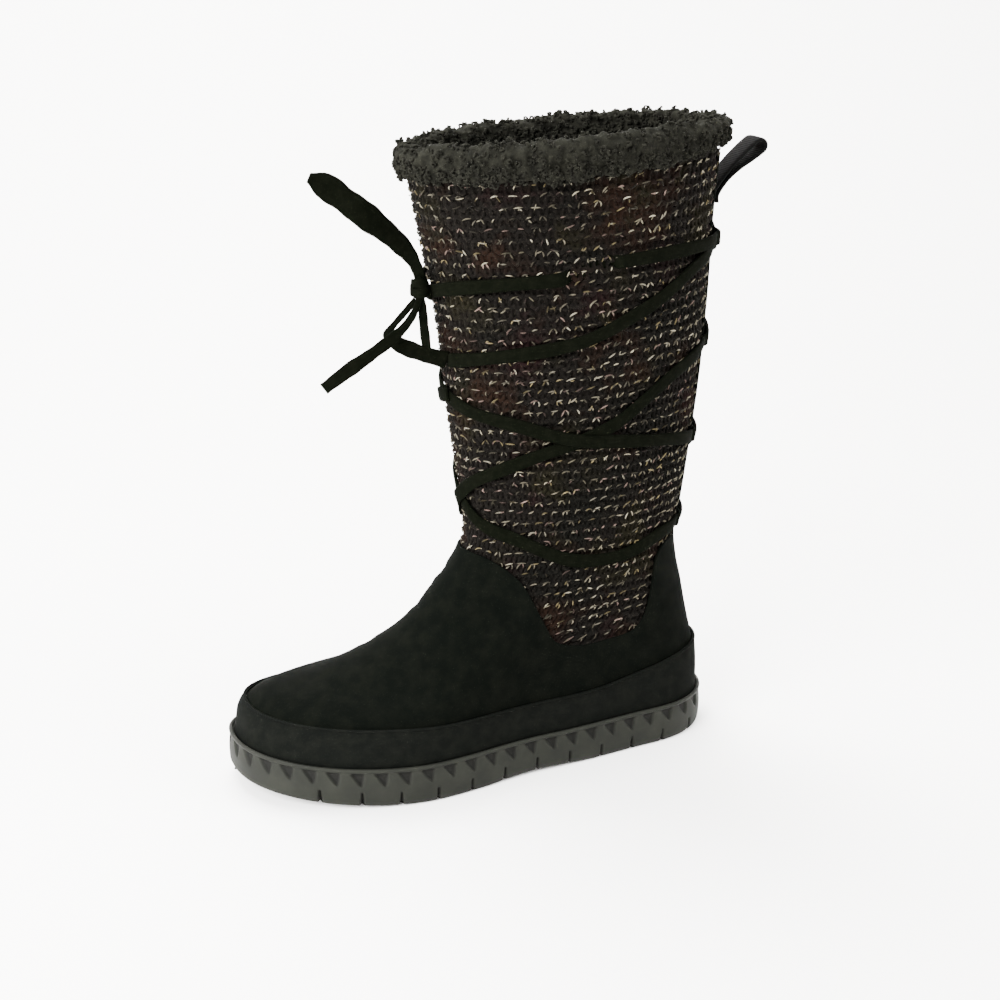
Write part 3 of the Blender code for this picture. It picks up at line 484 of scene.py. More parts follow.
def makePile(name, deep, tip):
    # curly acrylic pile: no gloss, in locks of about 4 mm; its darker random patches are painted
    # shade standing for the depth between the curls
    material, tree, shader, place = newMaterial(name, {
        "Roughness": 1.0, "Specular IOR Level": 0.02, "Sheen Weight": 0.03,
        "Sheen Roughness": 0.6, "Sheen Tint": linear("#74736a")})
    # the deep colour is painted shade, laid in random lock-sized patches over the lighter tip
    # colour
    colour = mottle(tree, place, {"Scale": 220.0, "Detail": 4.0, "Roughness": 0.7},
                    0.35, 0.68, deep, tip)
    tree.links.new(colour, shader.inputs["Base Color"])
    fineGrain(tree, shader, place, 1200.0, 4.0, 0.8, 0.6)
    return material


def makeWebbing(name, colour, lift, ribs):
    # woven polyester tape: dull, with fine ribs across that the weft makes
    material, tree, shader, place = newMaterial(name, {
        "Roughness": 0.85, "Specular IOR Level": 0.03})
    cells = mottle(tree, place, {"Scale": 700.0, "Detail": 2.0}, 0.4, 0.7, colour, lift)
    tree.links.new(cells, shader.inputs["Base Color"])
    weave = addNode(tree, "ShaderNodeTexWave", {"wave_type": "BANDS", "bands_direction": "Z",
                    "Scale": ribs, "Distortion": 0.6}, {"Vector": place})
    bump = addNode(tree, "ShaderNodeBump", {"Strength": 0.4, "Distance": 0.3 * mm},
                   {"Height": weave.outputs[0]})
    tree.links.new(bump.outputs[0], shader.inputs["Normal"])
    return material


suede = makeSuede("brushedSuede", "#030403", "#060705", 9)
randSuede = makeSuede("randSuede", "#060706", "#0a0b09", 7)
laceSuede = makeSuede("laceSuede", "#030402", "#060704", 4)
rubber = makeRubber()
yarn = makeYarn()
lightPly = makeLightPly()
pile = makePile("curlyPile", "#0a0a08", "#161612")
liningPile = makePile("liningPile", "#100f0e", "#191715")
felt = makePile("footbedFelt", "#1a1817", "#2a2725")
webbing = makeWebbing("wovenTape", "#040404", "#080807", 400.0)
print("materials made")

# ---- free lace: the flat lace's ends and its slack strand at the knot
freeLace = {
    "thickness": 1.5 * mm, "steps": 6,
    "upper": ((-0.1273, -0.0010, 0.2756), (-0.1299, -0.0020, 0.2823), (-0.1347, -0.0030, 0.2902),
              (-0.1438, -0.0040, 0.2998), (-0.1554, -0.0050, 0.3094), (-0.1680, -0.0050, 0.3193),
              (-0.1793, -0.0050, 0.3279), (-0.1880, -0.0050, 0.3327)),
    "lower": ((-0.1287, -0.0030, 0.2677), (-0.1318, -0.0050, 0.2615), (-0.1380, -0.0080, 0.2548),
              (-0.1469, -0.0110, 0.2489), (-0.1589, -0.0120, 0.2418), (-0.1721, -0.0120, 0.2342),
              (-0.1848, -0.0110, 0.2257)),
    "slack": ((-0.1157, -0.0082, 0.2335), (-0.1270, -0.0072, 0.2372), (-0.1373, -0.0060, 0.2415),
              (-0.1443, -0.0040, 0.2454), (-0.1459, -0.0010, 0.2486), (-0.1418, 0.0010, 0.2526),
              (-0.1348, 0.0015, 0.2593), (-0.1294, 0.0010, 0.2653)),
    "tuck": ((-0.1278, -0.0020, 0.2669), (-0.1275, -0.0040, 0.2593), (-0.1276, -0.0062, 0.2510),
             (-0.1264, -0.0072, 0.2384)),
    "upperWidths": (5.6, 6.4, 8.2, 11.6, 13.4, 13.4, 13.0, 5.5),
    "lowerWidths": (3.4, 3.6, 4.4, 5.8, 6.8, 7.2, 6.6),
    "slackWidths": (9.0, 9.0, 8.4, 7.0, 5.0, 3.6, 3.4, 3.4),
    "tuckWidths": (4.0, 4.8, 5.0, 5.0),
}


def freeBand(name, route, widths, facing, crumple):
    path = smoothLine(route, freeLace["steps"])
    width = smoothLine(np.array(widths)[:, None] * mm, freeLace["steps"])[:, 0]
    share = np.linspace(0, 1, len(path))
    width = width * (1 + 0.05 * np.sin(share * 23 + crumple) + 0.03 * np.sin(share * 57))
    along = heading(path)
    across = unit(np.cross(along, np.asarray(facing, float)))
    over = unit(np.cross(across, along))
    sway = 0.22 * np.sin(share * 9 + crumple)[:, None]
    return path, band(name, path, unit(across + over * sway), unit(over - across * sway),
                      width, freeLace["thickness"], 0.55)


def freeEnd(name, route, widths, facing, crumple, node):
    path, piece = freeBand(name, route, widths, facing, crumple)
    finishPiece(piece, laceSuede, "lace", node)


freeEnd("laceEndUpper", freeLace["upper"], freeLace["upperWidths"], (-0.3, -0.9, 0.25), 0.4,
        "lace_end_up")
freeEnd("laceEndLower", freeLace["lower"], freeLace["lowerWidths"], (-0.3, -0.9, 0.25), 2.0,
        "lace_end_down")
freeEnd("laceSlack", freeLace["slack"], freeLace["slackWidths"], (-0.5, -0.8, 0.2), 1.0,
        "lace_loop")
tuck = freeBand("laceTuck", freeLace["tuck"], freeLace["tuckWidths"], (-0.3, -0.9, 0.1), 3.0)[1]
finishPiece(tuck, laceSuede, "lace", "lace_loop")
print("free lace made")

# ---- outsole: one closed form from the tread's spine over the side and lip to the seat
sole = {
    "height": 22.8 * mm, "lipHeight": 2 * mm, "bulge": 0.8 * mm, "grow": 6.1 * mm,
    "bevel": 2.5 * mm, "arch": 1.5 * mm,
    "heelBevel": 6 * mm, "heelBevelLength": 12 * mm, "heelFlatEnd": 0.30, "forefoot": 0.55,
    "lugPitch": 20.8 * mm, "lugShift": 3.3 * mm, "grooveWidth": 2.4 * mm, "grooveDepth": 4 * mm,
    "notchHeight": 9 * mm, "notchDepth": 3 * mm, "recessPitch": 13 * mm,
    "recessWidth": 8 * mm, "recessHeight": 8 * mm, "recessDepth": 1.3 * mm,
    "toeSmoothFrom": 0.91, "sipePitch": 4.9 * mm, "sipeDepth": 0.8 * mm,
    "columns": 900, "treadRings": 20, "sideRings": 34,
}
# lip, seat wall and seat: reach past the last and height over the ground at the heel, in mm
lipProfile = (
    (5.9, 20.9), (6.25, 21.15), (6.35, 21.7), (6.3, 22.3), (6.05, 22.7), (5.6, 22.8), (4.9, 22.75),
    (4.55, 22.5), (4.5, 20.85), (3.0, 20.8), (-3.0, 20.8), (-20.0, 20.8),
)


def treadHeight(along):
    length = lastSizes["length"]
    bevel = np.clip(1 - (along + sole["grow"]) / sole["heelBevelLength"], 0, 1)
    share = np.clip((along / length - sole["heelFlatEnd"])
                    / (sole["forefoot"] - sole["heelFlatEnd"]), 0, 1)
    return (sole["heelBevel"] * bevel ** 2 + sole["arch"] * np.sin(np.pi * share)
            + springAt(along))


def nearGroove(along):  # distance to the nearest cross groove, far away at the smooth toe
    x = lastSizes["heelToOrigin"] - along
    forward = -x - sole["lugShift"]
    number = np.floor(forward / sole["lugPitch"])
    off = np.abs(forward - (number + 0.5) * sole["lugPitch"])
    behind = lastSizes["heelToOrigin"] + sole["grow"] - 0.6 * sole["heelBevelLength"]
    first = -int((behind + sole["lugShift"]) / sole["lugPitch"] + 0.5)
    last = int((sole["toeSmoothFrom"] * lastSizes["length"] - lastSizes["heelToOrigin"]
                - sole["lugShift"]) / sole["lugPitch"] - 0.5)
    return np.where((number >= first) & (number <= last), off, 1.0)


def colourPoints(piece, name, colours):
    tone = piece.data.color_attributes.new(name, "FLOAT_COLOR", "POINT")
    tone.data.foreach_set("color", colours.reshape(-1))


def buildOutsole():
    turns = np.linspace(0, 1, sole["columns"] + 1)
    angles = angleAt(0.0, turns)
    base, normal = formPoint(0.0, angles), formNormal(0.0, angles)

    def ring(grow):
        return base + normal * grow

    rim = ring(sole["grow"])
    walked = np.linalg.norm(np.diff(rim, axis=0), axis=1).cumsum()
    walked = np.concatenate(((0,), walked))
    count = round(walked[-1] / sole["recessPitch"])
    place = walked / walked[-1] * count
    pitch = walked[-1] / count
    outerSide = np.sin(angles) >= 0
    off = (place - np.floor(place) - 0.5) * pitch  # from the middle of a recess, towards the toe
    off = np.where(outerSide, off, -off)

    rings = []
    shades = []  # painted shade: 1 in the depth of a groove, a notch or a recess
    spine = rim.copy()
    spine[:, 1] = leanAt(alongAt(rim[:, 0]), 1)
    tread = ring(sole["grow"] - sole["bevel"])
    for share in np.linspace(0, 1, sole["treadRings"]):
        spot = spine + (tread - spine) * share
        along = alongAt(spot[:, 0])
        spot[:, 2] = treadHeight(along)
        groove = ease((sole["grooveWidth"] / 2 + 0.35 * mm - nearGroove(along)) / (0.7 * mm))
        wave = np.abs(((spot[:, 0] + 3 * mm * np.sin(spot[:, 1] / (5 * mm)))
                       / sole["sipePitch"]) % 1 - 0.5)
        sipe = ease((wave - 0.36) / 0.08) * (1 - groove) * (0.15 < share) * (share < 0.8)
        spot[:, 2] += groove * sole["grooveDepth"] + sipe * sole["sipeDepth"]
        rings.append(spot)
        shades.append(groove)
    along = alongAt(rim[:, 0])
    low = treadHeight(along)
    lift = seatLift(along)
    top = sole["height"] - sole["lipHeight"] + lift
    for share in np.linspace(0, 1, sole["sideRings"])[1:]:
        up = low + (top - low) * share
        bevel = np.clip(1 - (up - low) / (1.6 * sole["bevel"]), 0, 1)
        belly = np.sin(np.pi * np.clip(share, 0, 1)) * 0.5 - 0.5 * ease((share - 0.5) / 0.5)
        grow = sole["grow"] - sole["bevel"] * (1 - np.sqrt(1 - bevel ** 2)) + belly * sole["bulge"]
        rise = np.clip((up - low) / sole["notchHeight"], 0, 1)
        taper = sole["grooveWidth"] * (0.62 - 0.38 * rise)  # a notch narrows upwards
        notch = ease((taper / 2 + 0.4 * mm - nearGroove(along)) / (0.6 * mm))
        notch = notch * ease((low + sole["notchHeight"] - up) / (0.8 * mm))
        down = (top - 0.3 * mm - up) / sole["recessHeight"]  # 0 at the rim, 1 at the tip
        centre = -0.3 * sole["recessWidth"] * down
        half = sole["recessWidth"] / 2 * np.clip(1 - down, 0, 1) ** 0.8
        recess = ease((half - np.abs(off - centre)) / (0.9 * mm) + 0.4)
        recess = recess * ease(down * 10) * ease((1 - down) * 8)
        depth = notch * sole["notchDepth"] + recess * sole["recessDepth"] * (1 - notch)
        spot = ring(0.0) + normal * (grow - depth)[:, None]
        spot[:, 2] = up
        rings.append(spot)
        shades.append(np.maximum(notch, 0.85 * recess))
    for grow, height in lipProfile:
        spot = ring(grow * mm)
        spot[:, 2] = height * mm + lift
        rings.append(spot)
    spot = spine.copy()
    spot[:, 2] = top
    rings.append(spot)
    piece = wrapped("outsoleMoulded", np.array(rings))
    # the merged mesh has lost the rows, so each point looks for its own among them
    # the painted shade goes to each point of the mesh as its "depth" colour
    known = np.array(rings[:len(shades)]).reshape(-1, 3)
    paintedShadeDepths = np.array(shades).reshape(-1)
    tree = KDTree(len(known))
    for number, spot in enumerate(known):
        tree.insert(spot, number)
    tree.balance()
    colours = np.zeros((len(piece.data.vertices), 4))
    for number, vertex in enumerate(piece.data.vertices):
        _, nearest, away = tree.find(vertex.co)
        colours[number, :3] = paintedShadeDepths[nearest] if away < 0.05 * mm else 0
    colourPoints(piece, "depth", colours)
    finishPiece(piece, rubber, "sole_rubber", "outsole")


buildOutsole()
print("outsole made")

# ---- rand and foot shell: layers of suede over the last, each with a rounded upper edge
# depth over the last and wall in mm; no edge lies above the level "top"
layers = {
    "shell": {"depth": 0.3, "wall": 1.5, "top": 9.0, "columns": 460, "rows": 52, "creased": 1},
    "rand": {"depth": 2.1, "wall": 1.6, "top": 4.0, "columns": 420, "rows": 22, "creased": 0},
}
# creases of a worn foot in side view: from x and z to x and z, depth and half width, all in mm
creases = (
    (-122, 118, -84, 92, 0.9, 3.6), (-141, 101, -104, 80, 0.7, 3.4),
    (-168, 82, -138, 60, 0.55, 3.2), (22, 92, -14, 78, 0.5, 3.4), (-72, 74, -40, 60, 0.45, 4.0),
)


def creaseDepth(spots):  # a soft trough with a low ridge beside it
    depth = np.zeros(spots.shape[:-1])
    flat = spots[..., (0, 2)]
    for x1, z1, x2, z2, deep, half in creases:
        start, end = np.array((x1, z1)) * mm, np.array((x2, z2)) * mm
        along = np.clip(((flat - start) @ (end - start)) / ((end - start) @ (end - start)), 0, 1)
        bend = 2.5 * mm * np.sin(along * np.pi)  # creases sag, none is straight
        off = np.linalg.norm(flat - start - along[..., None] * (end - start)
                             + bend[..., None] * np.array((0, 1)), axis=-1) / (half * mm)
        fade = np.sin(np.clip(along, 0.04, 0.96) * np.pi) ** 0.5
        depth += deep * mm * fade * (np.exp(-off ** 2) - 0.45 * np.exp(-((off - 1.8) / 0.8) ** 2))
    return depth


def buildLayer(name, edge, sizes, material, slot, node):
    turns = np.linspace(0, 1, sizes["columns"] + 1)
    angles = angleAt(3.0, turns)
    ends = edgeLevel(edge, angles, (sizes["depth"] + sizes["wall"]) * mm, sizes["top"])
    ends[-1] = ends[0]
    middle = (sizes["depth"] + sizes["wall"] / 2) * mm
    half = sizes["wall"] / 2 * mm
    rings = []
    for share in np.linspace(0, 1, sizes["rows"]):
        fade = min(1, (1 - share) * 12) * sizes["creased"]
        flat = onForm(ends * share, angles, middle + half)
        rings.append(onForm(ends * share, angles, middle + half - fade * creaseDepth(flat)))
    rise = unit(rings[-1] - rings[-2])
    normal = formNormal(ends, angles)
    core = onForm(ends, angles, middle)
    for turn in np.linspace(0, np.pi, 7)[1:-1]:
        rings.append(core + normal * half * math.cos(turn) + rise * half * math.sin(turn))
    for share in np.linspace(1, 0, 14):
        rings.append(onForm(ends * share, angles, middle - half))
    rings.append(rings[0].copy())
    piece = wrapped(name, np.array(rings))
    finishPiece(piece, material, slot, node)
    return angles, ends


buildLayer("suedeShell", shellEdge, layers["shell"], suede, "suede", "foot_shell")
randAngles, randEnds = buildLayer("suedeRand", randEdge, layers["rand"], randSuede,
                                  "rand_suede", "rand")
piping = {"depth": 3.5 * mm, "radius": 0.75 * mm}
pipingLine = onForm(randEnds, randAngles, piping["depth"])[:-1]
finishPiece(strands("randPiping", [pipingLine], piping["radius"], 8, closed=True), randSuede,
            "rand_suede")
print("suede layers made")

# ---- knit: a dark backing, rows of real yarn loops in reverse face, and the light ply on them
knit = {
    "stitches": 54, "rowHeight": 5.9 * mm, "lowRise": 58 * mm, "yarn": 1.45 * mm,
    "sunk": 1.45 * mm, "swing": 0.60, "neck": 0.11, "depth": 0.9 * mm, "steps": 8,
    "hidden": 5 * mm, "ply": 0.44 * mm, "wobble": 0.14, "fleckLight": 0.34,
}
# how the light ply lies on a stitch: the dash of its top, and the two legs that meet under it;
# each with its chance, lean from level in degrees (up towards the heel on the outer side),
# spread of the lean, place across in stitches, lift in rows, shortest and longest in mm
fleckDash = ((0.78, 14, 13, 0.0, 0.50, 2.8, 5.2),)
fleckLegs = ((0.90, 60, 10, 0.17, 0.34, 2.2, 3.8), (0.90, -60, 10, -0.17, 0.34, 2.2, 3.8))
fleckLone = ((0.5, 55, 18, 0.1, 0.40, 2.0, 3.4), (0.3, -50, 18, -0.1, 0.40, 2.0, 3.4))
fleckShape = np.array((0.25, 0.8, 1.0, 0.85, 0.3), np.float32)
girths = arcTable[:, -1]


def loopPoint(row, place):  # place counts stitches round the shaft, row counts rows up
    rise = knit["lowRise"] + (row - knit["swing"] * np.cos(2 * np.pi * place)) * knit["rowHeight"]
    turn = (place + knit["neck"] * np.sin(4 * np.pi * place)) / knit["stitches"]
    level = levelAtRise(rise)
    angle = angleAt(level, turn)
    offset = knit["depth"] * np.cos(4 * np.pi * place) - knit["sunk"]
    return level, angle, offset


def shown(spots, margin):
    return spots[..., 2] > edgeHeight(shellEdge, spots[..., 0]) - margin


def buildKnit():
    topRise = meanRises[-1] - 4 * mm
    rows = int((topRise - knit["lowRise"]) / knit["rowHeight"])
    closedLines = []
    openLines = []
    flecks = []
    shades = []
    palette = [linear(c)[:3] for c in
               ("#9d9680", "#8b8370", "#716b58", "#b2ab96", "#7c7050", "#625c4e", "#846f66")]
    steps = knit["steps"]
    for row in range(rows):
        shift = 0.5 * (row % 2)
        place = np.arange(knit["stitches"] * steps) / steps + shift
        wobble = knit["wobble"] * dice.standard_normal(knit["stitches"])
        drift = np.interp(place % knit["stitches"], np.arange(knit["stitches"]) + 0.5, wobble,
                          period=knit["stitches"])
        level, angle, offset = loopPoint(row + drift, place)
        spots = onForm(level, angle, offset)
        visible = shown(spots, knit["hidden"])
        if visible.all():
            closedLines.append(spots)
        else:
            order = np.roll(np.arange(len(visible)), -int(np.argmin(visible)))
            for run in np.split(order, np.nonzero(~visible[order])[0]):
                run = run[visible[run]]
                if len(run) > 3:
                    openLines.append(spots[run])
        for number in range(knit["stitches"]):
            pair = fleckLegs if dice.random() < 0.40 else fleckLone
            for chance, mean, spread, across, lift, least, most in fleckDash + pair:
                if dice.random() > chance:
                    continue
                lean = math.radians(dice.normal(mean, spread))
                reach = dice.uniform(least, most) * mm * np.linspace(-0.5, 0.5, 5)
                arch = dice.uniform(-0.2, 0.75) * mm * np.cos(np.linspace(-1.4, 1.4, 5))
                rise = knit["lowRise"] + (row + lift + dice.normal(0, 0.07)) * knit["rowHeight"]
                rise = rise + reach * math.sin(lean) + arch * math.cos(lean)
                sideways = reach * math.cos(lean) - arch * math.sin(lean)
                level = levelAtRise(rise)
                turn = ((number + 0.5 + shift + across + dice.normal(0, 0.09)) / knit["stitches"]
                        - sideways / np.interp(level, levelSteps, girths))
                swell = np.array((-0.2, 0.05, 0.15, 0.05, -0.2)) * mm
                over = knit["depth"] - knit["sunk"] + knit["yarn"] - (0.5 - lift) * 2.5 * mm
                fleck = onForm(level, angleAt(level, turn), over + swell)
                if shown(fleck, 0.3 * mm).all():
                    flecks.append(fleck)
                    colour = np.array(palette[dice.integers(len(palette))])
                    patch = 1 + 0.9 * noise.noise(Vector(fleck[2]) / (18 * mm))
                    light = 0.04 + knit["fleckLight"] * dice.random() ** 1.5
                    shades.append(colour * patch * light)
    for name, some, closed in (("knitRows", closedLines, True), ("knitSides", openLines, False)):
        if some:
            piece = strands(name, some, knit["yarn"], 6, closed=closed)
            finishPiece(piece, yarn, "knit", "upper")
    piece = strands("knitFlecks", flecks, knit["ply"], 4, shape=fleckShape)
    each = len(piece.data.vertices) // len(flecks)
    colours = np.ones((len(piece.data.vertices), 4))
    colours[:, :3] = np.repeat(np.array(shades), each, axis=0)
    colourPoints(piece, "shade", colours)
    finishPiece(piece, lightPly, "knit", "upper")
    print("knit rows", rows, "flecks", len(flecks))


def buildWalls():  # two thin walls inside the loops, outer and inner depth in mm
    turns = np.linspace(0, 1, 161)
    levels = np.linspace(0.0, topLevel, 64)
    for name, outer, inner, material, slot in (
        ("knitBacking", -1.5, -2.1, yarn, "knit"), ("liningPile", -2.2, -3.2, liningPile, "pile"),
    ):
        rings = []
        for depth, order in ((outer, levels), (inner, levels[::-1])):
            for level in order:
                rings.append(onForm(level, angleAt(level, turns), depth * mm))
        rings.append(rings[0].copy())
        finishPiece(wrapped(name, np.array(rings)), material, slot, "upper")


buildKnit()
buildWalls()
print("knit made")

# ---- lace round the shaft: each run follows its turns, and climbs where it crosses another
lace = {
    "width": 7.5 * mm, "thickness": 1.9 * mm, "gap": 0.6 * mm, "strip": 1.8 * mm,
    "stripAngle": 20, "step": 0.15 * mm, "climb": 1.7 * mm, "climbReach": 6.5 * mm,
    "bridge": (89, 107), "bridgeDepth": 4.6 * mm,
}
# degrees round from the heel and share of the shaft's height
lowFall = ((0, 0.44), (20, 0.432), (42, 0.404), (55, 0.379), (64, 0.35), (75, 0.307),
           (84, 0.268), (98, 0.231), (121, 0.187), (142, 0.141), (163, 0.094), (180, 0.042))
lowBand = ((0, -0.09), (20, -0.094), (46, -0.099), (59, -0.115), (75, -0.134), (89, -0.136),
           (102, -0.127), (114, -0.105), (126, -0.078), (139, -0.053), (152, -0.036),
           (166, -0.008), (180, 0.042))
middleBand = ((0, 0.15), (20, 0.156), (41, 0.173), (58, 0.189), (88, 0.214), (102, 0.227),
              (116, 0.246), (130, 0.273), (157, 0.305), (180, 0.34))
innerRise = ((0, 0.715), (21, 0.70), (52, 0.64), (83, 0.54), (112, 0.455), (149, 0.38), (180, 0.34))
highFall = ((0, 0.715), (21, 0.702), (41, 0.676), (52, 0.653), (68, 0.60), (83, 0.556),
            (96, 0.518), (112, 0.49), (149, 0.455), (180, 0.428))
topBand = ((0, 0.715), (30, 0.718), (59, 0.72), (88, 0.711), (98, 0.694), (108, 0.676),
           (133, 0.662), (158, 0.642), (180, 0.617))
# name, its turns on the outer and the inner side, first and last degree
laceRuns = (
    ("laceLowBand", lowBand, lowFall, -6, 366), ("laceLowFall", lowFall, lowBand, -6, 366),
    ("laceMiddleBand", middleBand, innerRise, -6, 366), ("laceHighFall", highFall, None, -6, 172),
    ("laceMiddleInner", None, middleBand, 172, 366), ("laceTopOuter", topBand, None, -6, 184),
    ("laceTopInner", None, topBand, 176, 366),
)


def turnHeight(turns, degrees):
    line = smoothLine(turns, 10)
    return shaftHeight(np.interp(degrees, line[:, 0], line[:, 1]))


def runLine(outer, inner, first, last):
    degrees = np.linspace(first, last, int(last - first) + 1)
    height = np.empty(len(degrees))
    clipped = np.clip(degrees, 0, 360)
    for i, angle in enumerate(clipped):
        if (angle <= 180 and outer is not None) or inner is None:
            height[i] = turnHeight(outer, min(angle, 180))
        else:
            height[i] = turnHeight(inner, 360 - max(angle, 180))
    height = np.convolve(np.pad(height, 4, mode="edge"), np.ones(9) / 9, mode="valid")
    angles = np.radians(degrees)
    level = levelAtHeight(angles, height)
    return degrees, angles, level


def buildLace():
    before = []
    for number, (name, outer, inner, first, last) in enumerate(laceRuns):
        degrees, angles, level = runLine(outer, inner, first, last)
        away = np.minimum(np.abs(degrees), np.abs(degrees - 360))
        offset = lace["gap"] + lace["strip"] * ease((lace["stripAngle"] + 2 - away) / 4)
        offset = offset + number * lace["step"] + lace["thickness"] / 2
        flat = onForm(level, angles, 0.0)
        if before:
            others = np.concatenate(before)
            near = np.array([np.linalg.norm(others - spot, axis=1).min() for spot in flat])
            offset = offset + lace["climb"] * np.exp(-(near / lace["climbReach"]) ** 2)
        if name == "laceTopOuter":
            low, high = lace["bridge"]
            dive = ease((degrees - low + 3) / 4) * ease((high + 3 - degrees) / 4)
            offset = offset - dive * lace["bridgeDepth"]
        before.append(flat)
        path = onForm(level, angles, offset)
        normal = formNormal(level, angles)
        along = heading(path)
        across = unit(np.cross(normal, along))
        width = lace["width"] * (1 + 0.05 * np.sin(degrees / 7.0 + number))
        piece = band(name, path, across, normal, width, lace["thickness"], 0.5)
        finishPiece(piece, laceSuede, "lace", "lace_wraps")


buildLace()
print("lace wound")

# ---- knot: the lace tied over itself at the front, as two flat wraps round a core
knot = {
    "centre": (-0.1279, -0.0010, 0.2714), "core": (3.8 * mm, 4.0 * mm, 6.4 * mm),
    "width": 5.2 * mm, "thickness": 1.5 * mm,
    # name, tilt in radians, reach in core widths and lift in mm
    "wraps": (("knotWrap", 0.35, 1.18, -0.6), ("knotTuck", -0.55, 1.05, 1.6)),
}


def buildKnot():
    centre = np.array(knot["centre"])
    bpy.ops.mesh.primitive_uv_sphere_add(segments=32, ring_count=20, radius=1)
    core = bpy.context.object
    core.name = "knotCore"
    spots = np.array([vertex.co for vertex in core.data.vertices])
    puff = np.array([noise.noise(Vector(spot) * 1.6) for spot in spots])
    spots = spots * np.array(knot["core"]) * (1 + 0.25 * puff)[:, None] + centre
    core.data.vertices.foreach_set("co", spots.reshape(-1))
    bpy.ops.object.shade_smooth()
    core.select_set(False)
    finishPiece(core, laceSuede, "lace", "lace_knot")
    turn = np.linspace(0, 2 * np.pi, 61)
    for name, tilt, reach, up in knot["wraps"]:
        flat = np.stack((np.cos(turn), np.sin(turn), math.tan(tilt) * np.sin(turn + 0.6)), axis=-1)
        path = centre + flat * np.array((1, 1, 0.8)) * knot["core"][0] * reach
        path[:, 2] += up * mm
        along = heading(path)
        over = unit(flat * np.array((1, 1, 0.0)))
        across = unit(np.cross(along, over))
        piece = band(name, path, across, over, knot["width"] * (1 + 0.12 * np.sin(3 * turn)),
                     knot["thickness"], 0.6)
        finishPiece(piece, laceSuede, "lace", "lace_knot")


buildKnot()
print("knot tied")

# ---- keepers, backstay and pull loop on the back
backstay = {"halfAngle": 18, "foot": 0.77, "footGap": 1 * mm, "depth": 0.3 * mm,
            "wall": 1.5 * mm, "underCuff": 0.06}
keeper = {"width": 8 * mm, "wall": 2.4 * mm, "half": 8.6 * mm, "arch": 5.2 * mm,
          "stand": 1.9 * mm, "heights": (-0.09, 0.15, 0.44, 0.715)}  # in shares of the shaft
pullLoop = {"reach": 26 * mm, "width": 14 * mm, "wall": 2.2 * mm, "slit": 0.5 * mm,
            "bulb": 4.2 * mm, "foot": 0.80, "stand": 1.8 * mm,
            # middle of the loop in side view, outwards and upwards in shares of its reach
            "line": ((0.0, 0.0), (0.0, 0.2), (0.2, 0.5), (0.48, 0.78), (0.76, 1.0), (1.0, 1.18))}


def backFrame(height):
    level = levelAtHeight(np.zeros(1), np.array([height]))[0]
    spot = formPoint(level, 0.0)
    rise = unit(formPoint(level + 0.05, 0.0) - formPoint(level - 0.05, 0.0))
    return spot, unit(formNormal(level, 0.0)), rise


def buildBackstay():
    floor = lastSizes["base"] + backstay["foot"] * lastSizes["instep"] + backstay["footGap"]
    half = np.radians(backstay["halfAngle"])
    angles = np.linspace(-half, half, 61)
    low = levelAtHeight(angles, np.full_like(angles, floor))
    rings = []
    inner = []
    for share in np.linspace(0, 1, 90):
        level = low + (cuffLevel - backstay["underCuff"] - low) * share
        fade = np.sqrt(np.clip(1 - ((np.abs(angles) / half - 0.93) / 0.07).clip(0) ** 2, 0, 1))
        wall = backstay["wall"] * (0.25 + 0.75 * fade)
        rings.append(onForm(level, angles, backstay["depth"] + wall))
        inner.append(onForm(level, angles, backstay["depth"]))
    both = np.concatenate((np.array(rings), np.array(inner)[:, ::-1]), axis=1)
    both = np.concatenate((both, both[:, :1]), axis=1)
    first = both[:1].mean(axis=1, keepdims=True).repeat(both.shape[1], axis=1)
    last = both[-1:].mean(axis=1, keepdims=True).repeat(both.shape[1], axis=1)
    piece = wrapped("suedeBackstay", np.concatenate((first, both, last)))
    finishPiece(piece, suede, "suede", "backstay")


def buildTape(name, path, sizes, roundness, node):  # a tape whose width lies across the boot
    along = heading(path)
    across = np.broadcast_to(np.array((0.0, 1.0, 0.0)), path.shape)
    over = unit(np.cross(along, across))
    piece = band(name, path, across, over, sizes["width"], sizes["wall"], roundness)
    finishPiece(piece, webbing, "webbing", node)


def buildKeepers():
    for number, share in enumerate(keeper["heights"], start=1):
        spot, normal, rise = backFrame(shaftHeight(share))
        u = np.linspace(-1, 1, 41)
        lift = keeper["stand"] + keeper["arch"] * np.cos(u * np.pi / 2).clip(0) ** 0.6
        path = spot + np.outer(u * keeper["half"], rise) + np.outer(lift, normal)
        buildTape("laceKeeper%d" % number, path, keeper, 0.45, "lace_keeper_%d" % number)


def buildPullLoop():
    spot, normal, rise = backFrame(shaftHeight(pullLoop["foot"]))
    middle = smoothLine(np.array(pullLoop["line"]) * pullLoop["reach"], 8)
    along = heading(middle)
    side = np.stack((-along[:, 1], along[:, 0]), axis=-1)
    bulb = ease((np.linspace(0, 1, len(middle)) - 0.35) / 0.6)[:, None]
    gap = (pullLoop["slit"] + pullLoop["wall"] + pullLoop["bulb"] * bulb) / 2
    lower = middle - side * gap
    upper = (middle + side * gap)[::-1]
    tip = middle[-1]
    radius = float(gap[-1, 0])
    start = math.atan2(-side[-1, 1], -side[-1, 0])
    arc = np.array([
        (tip[0] + radius * math.cos(start + t), tip[1] + radius * math.sin(start + t))
        for t in np.linspace(0, math.pi, 12)[1:-1]
    ])
    outline = np.concatenate((lower, arc, upper))
    outline = outline + np.array((pullLoop["slit"] / 2 + pullLoop["wall"] + 0.6 * mm, 0))
    away = outline[:, 0] + pullLoop["stand"]
    path = spot + np.outer(away, normal) + np.outer(outline[:, 1], rise)
    buildTape("pullLoopTape", path, pullLoop, 0.4, "pull_loop")


buildBackstay()
buildKeepers()
buildPullLoop()
print("back made")

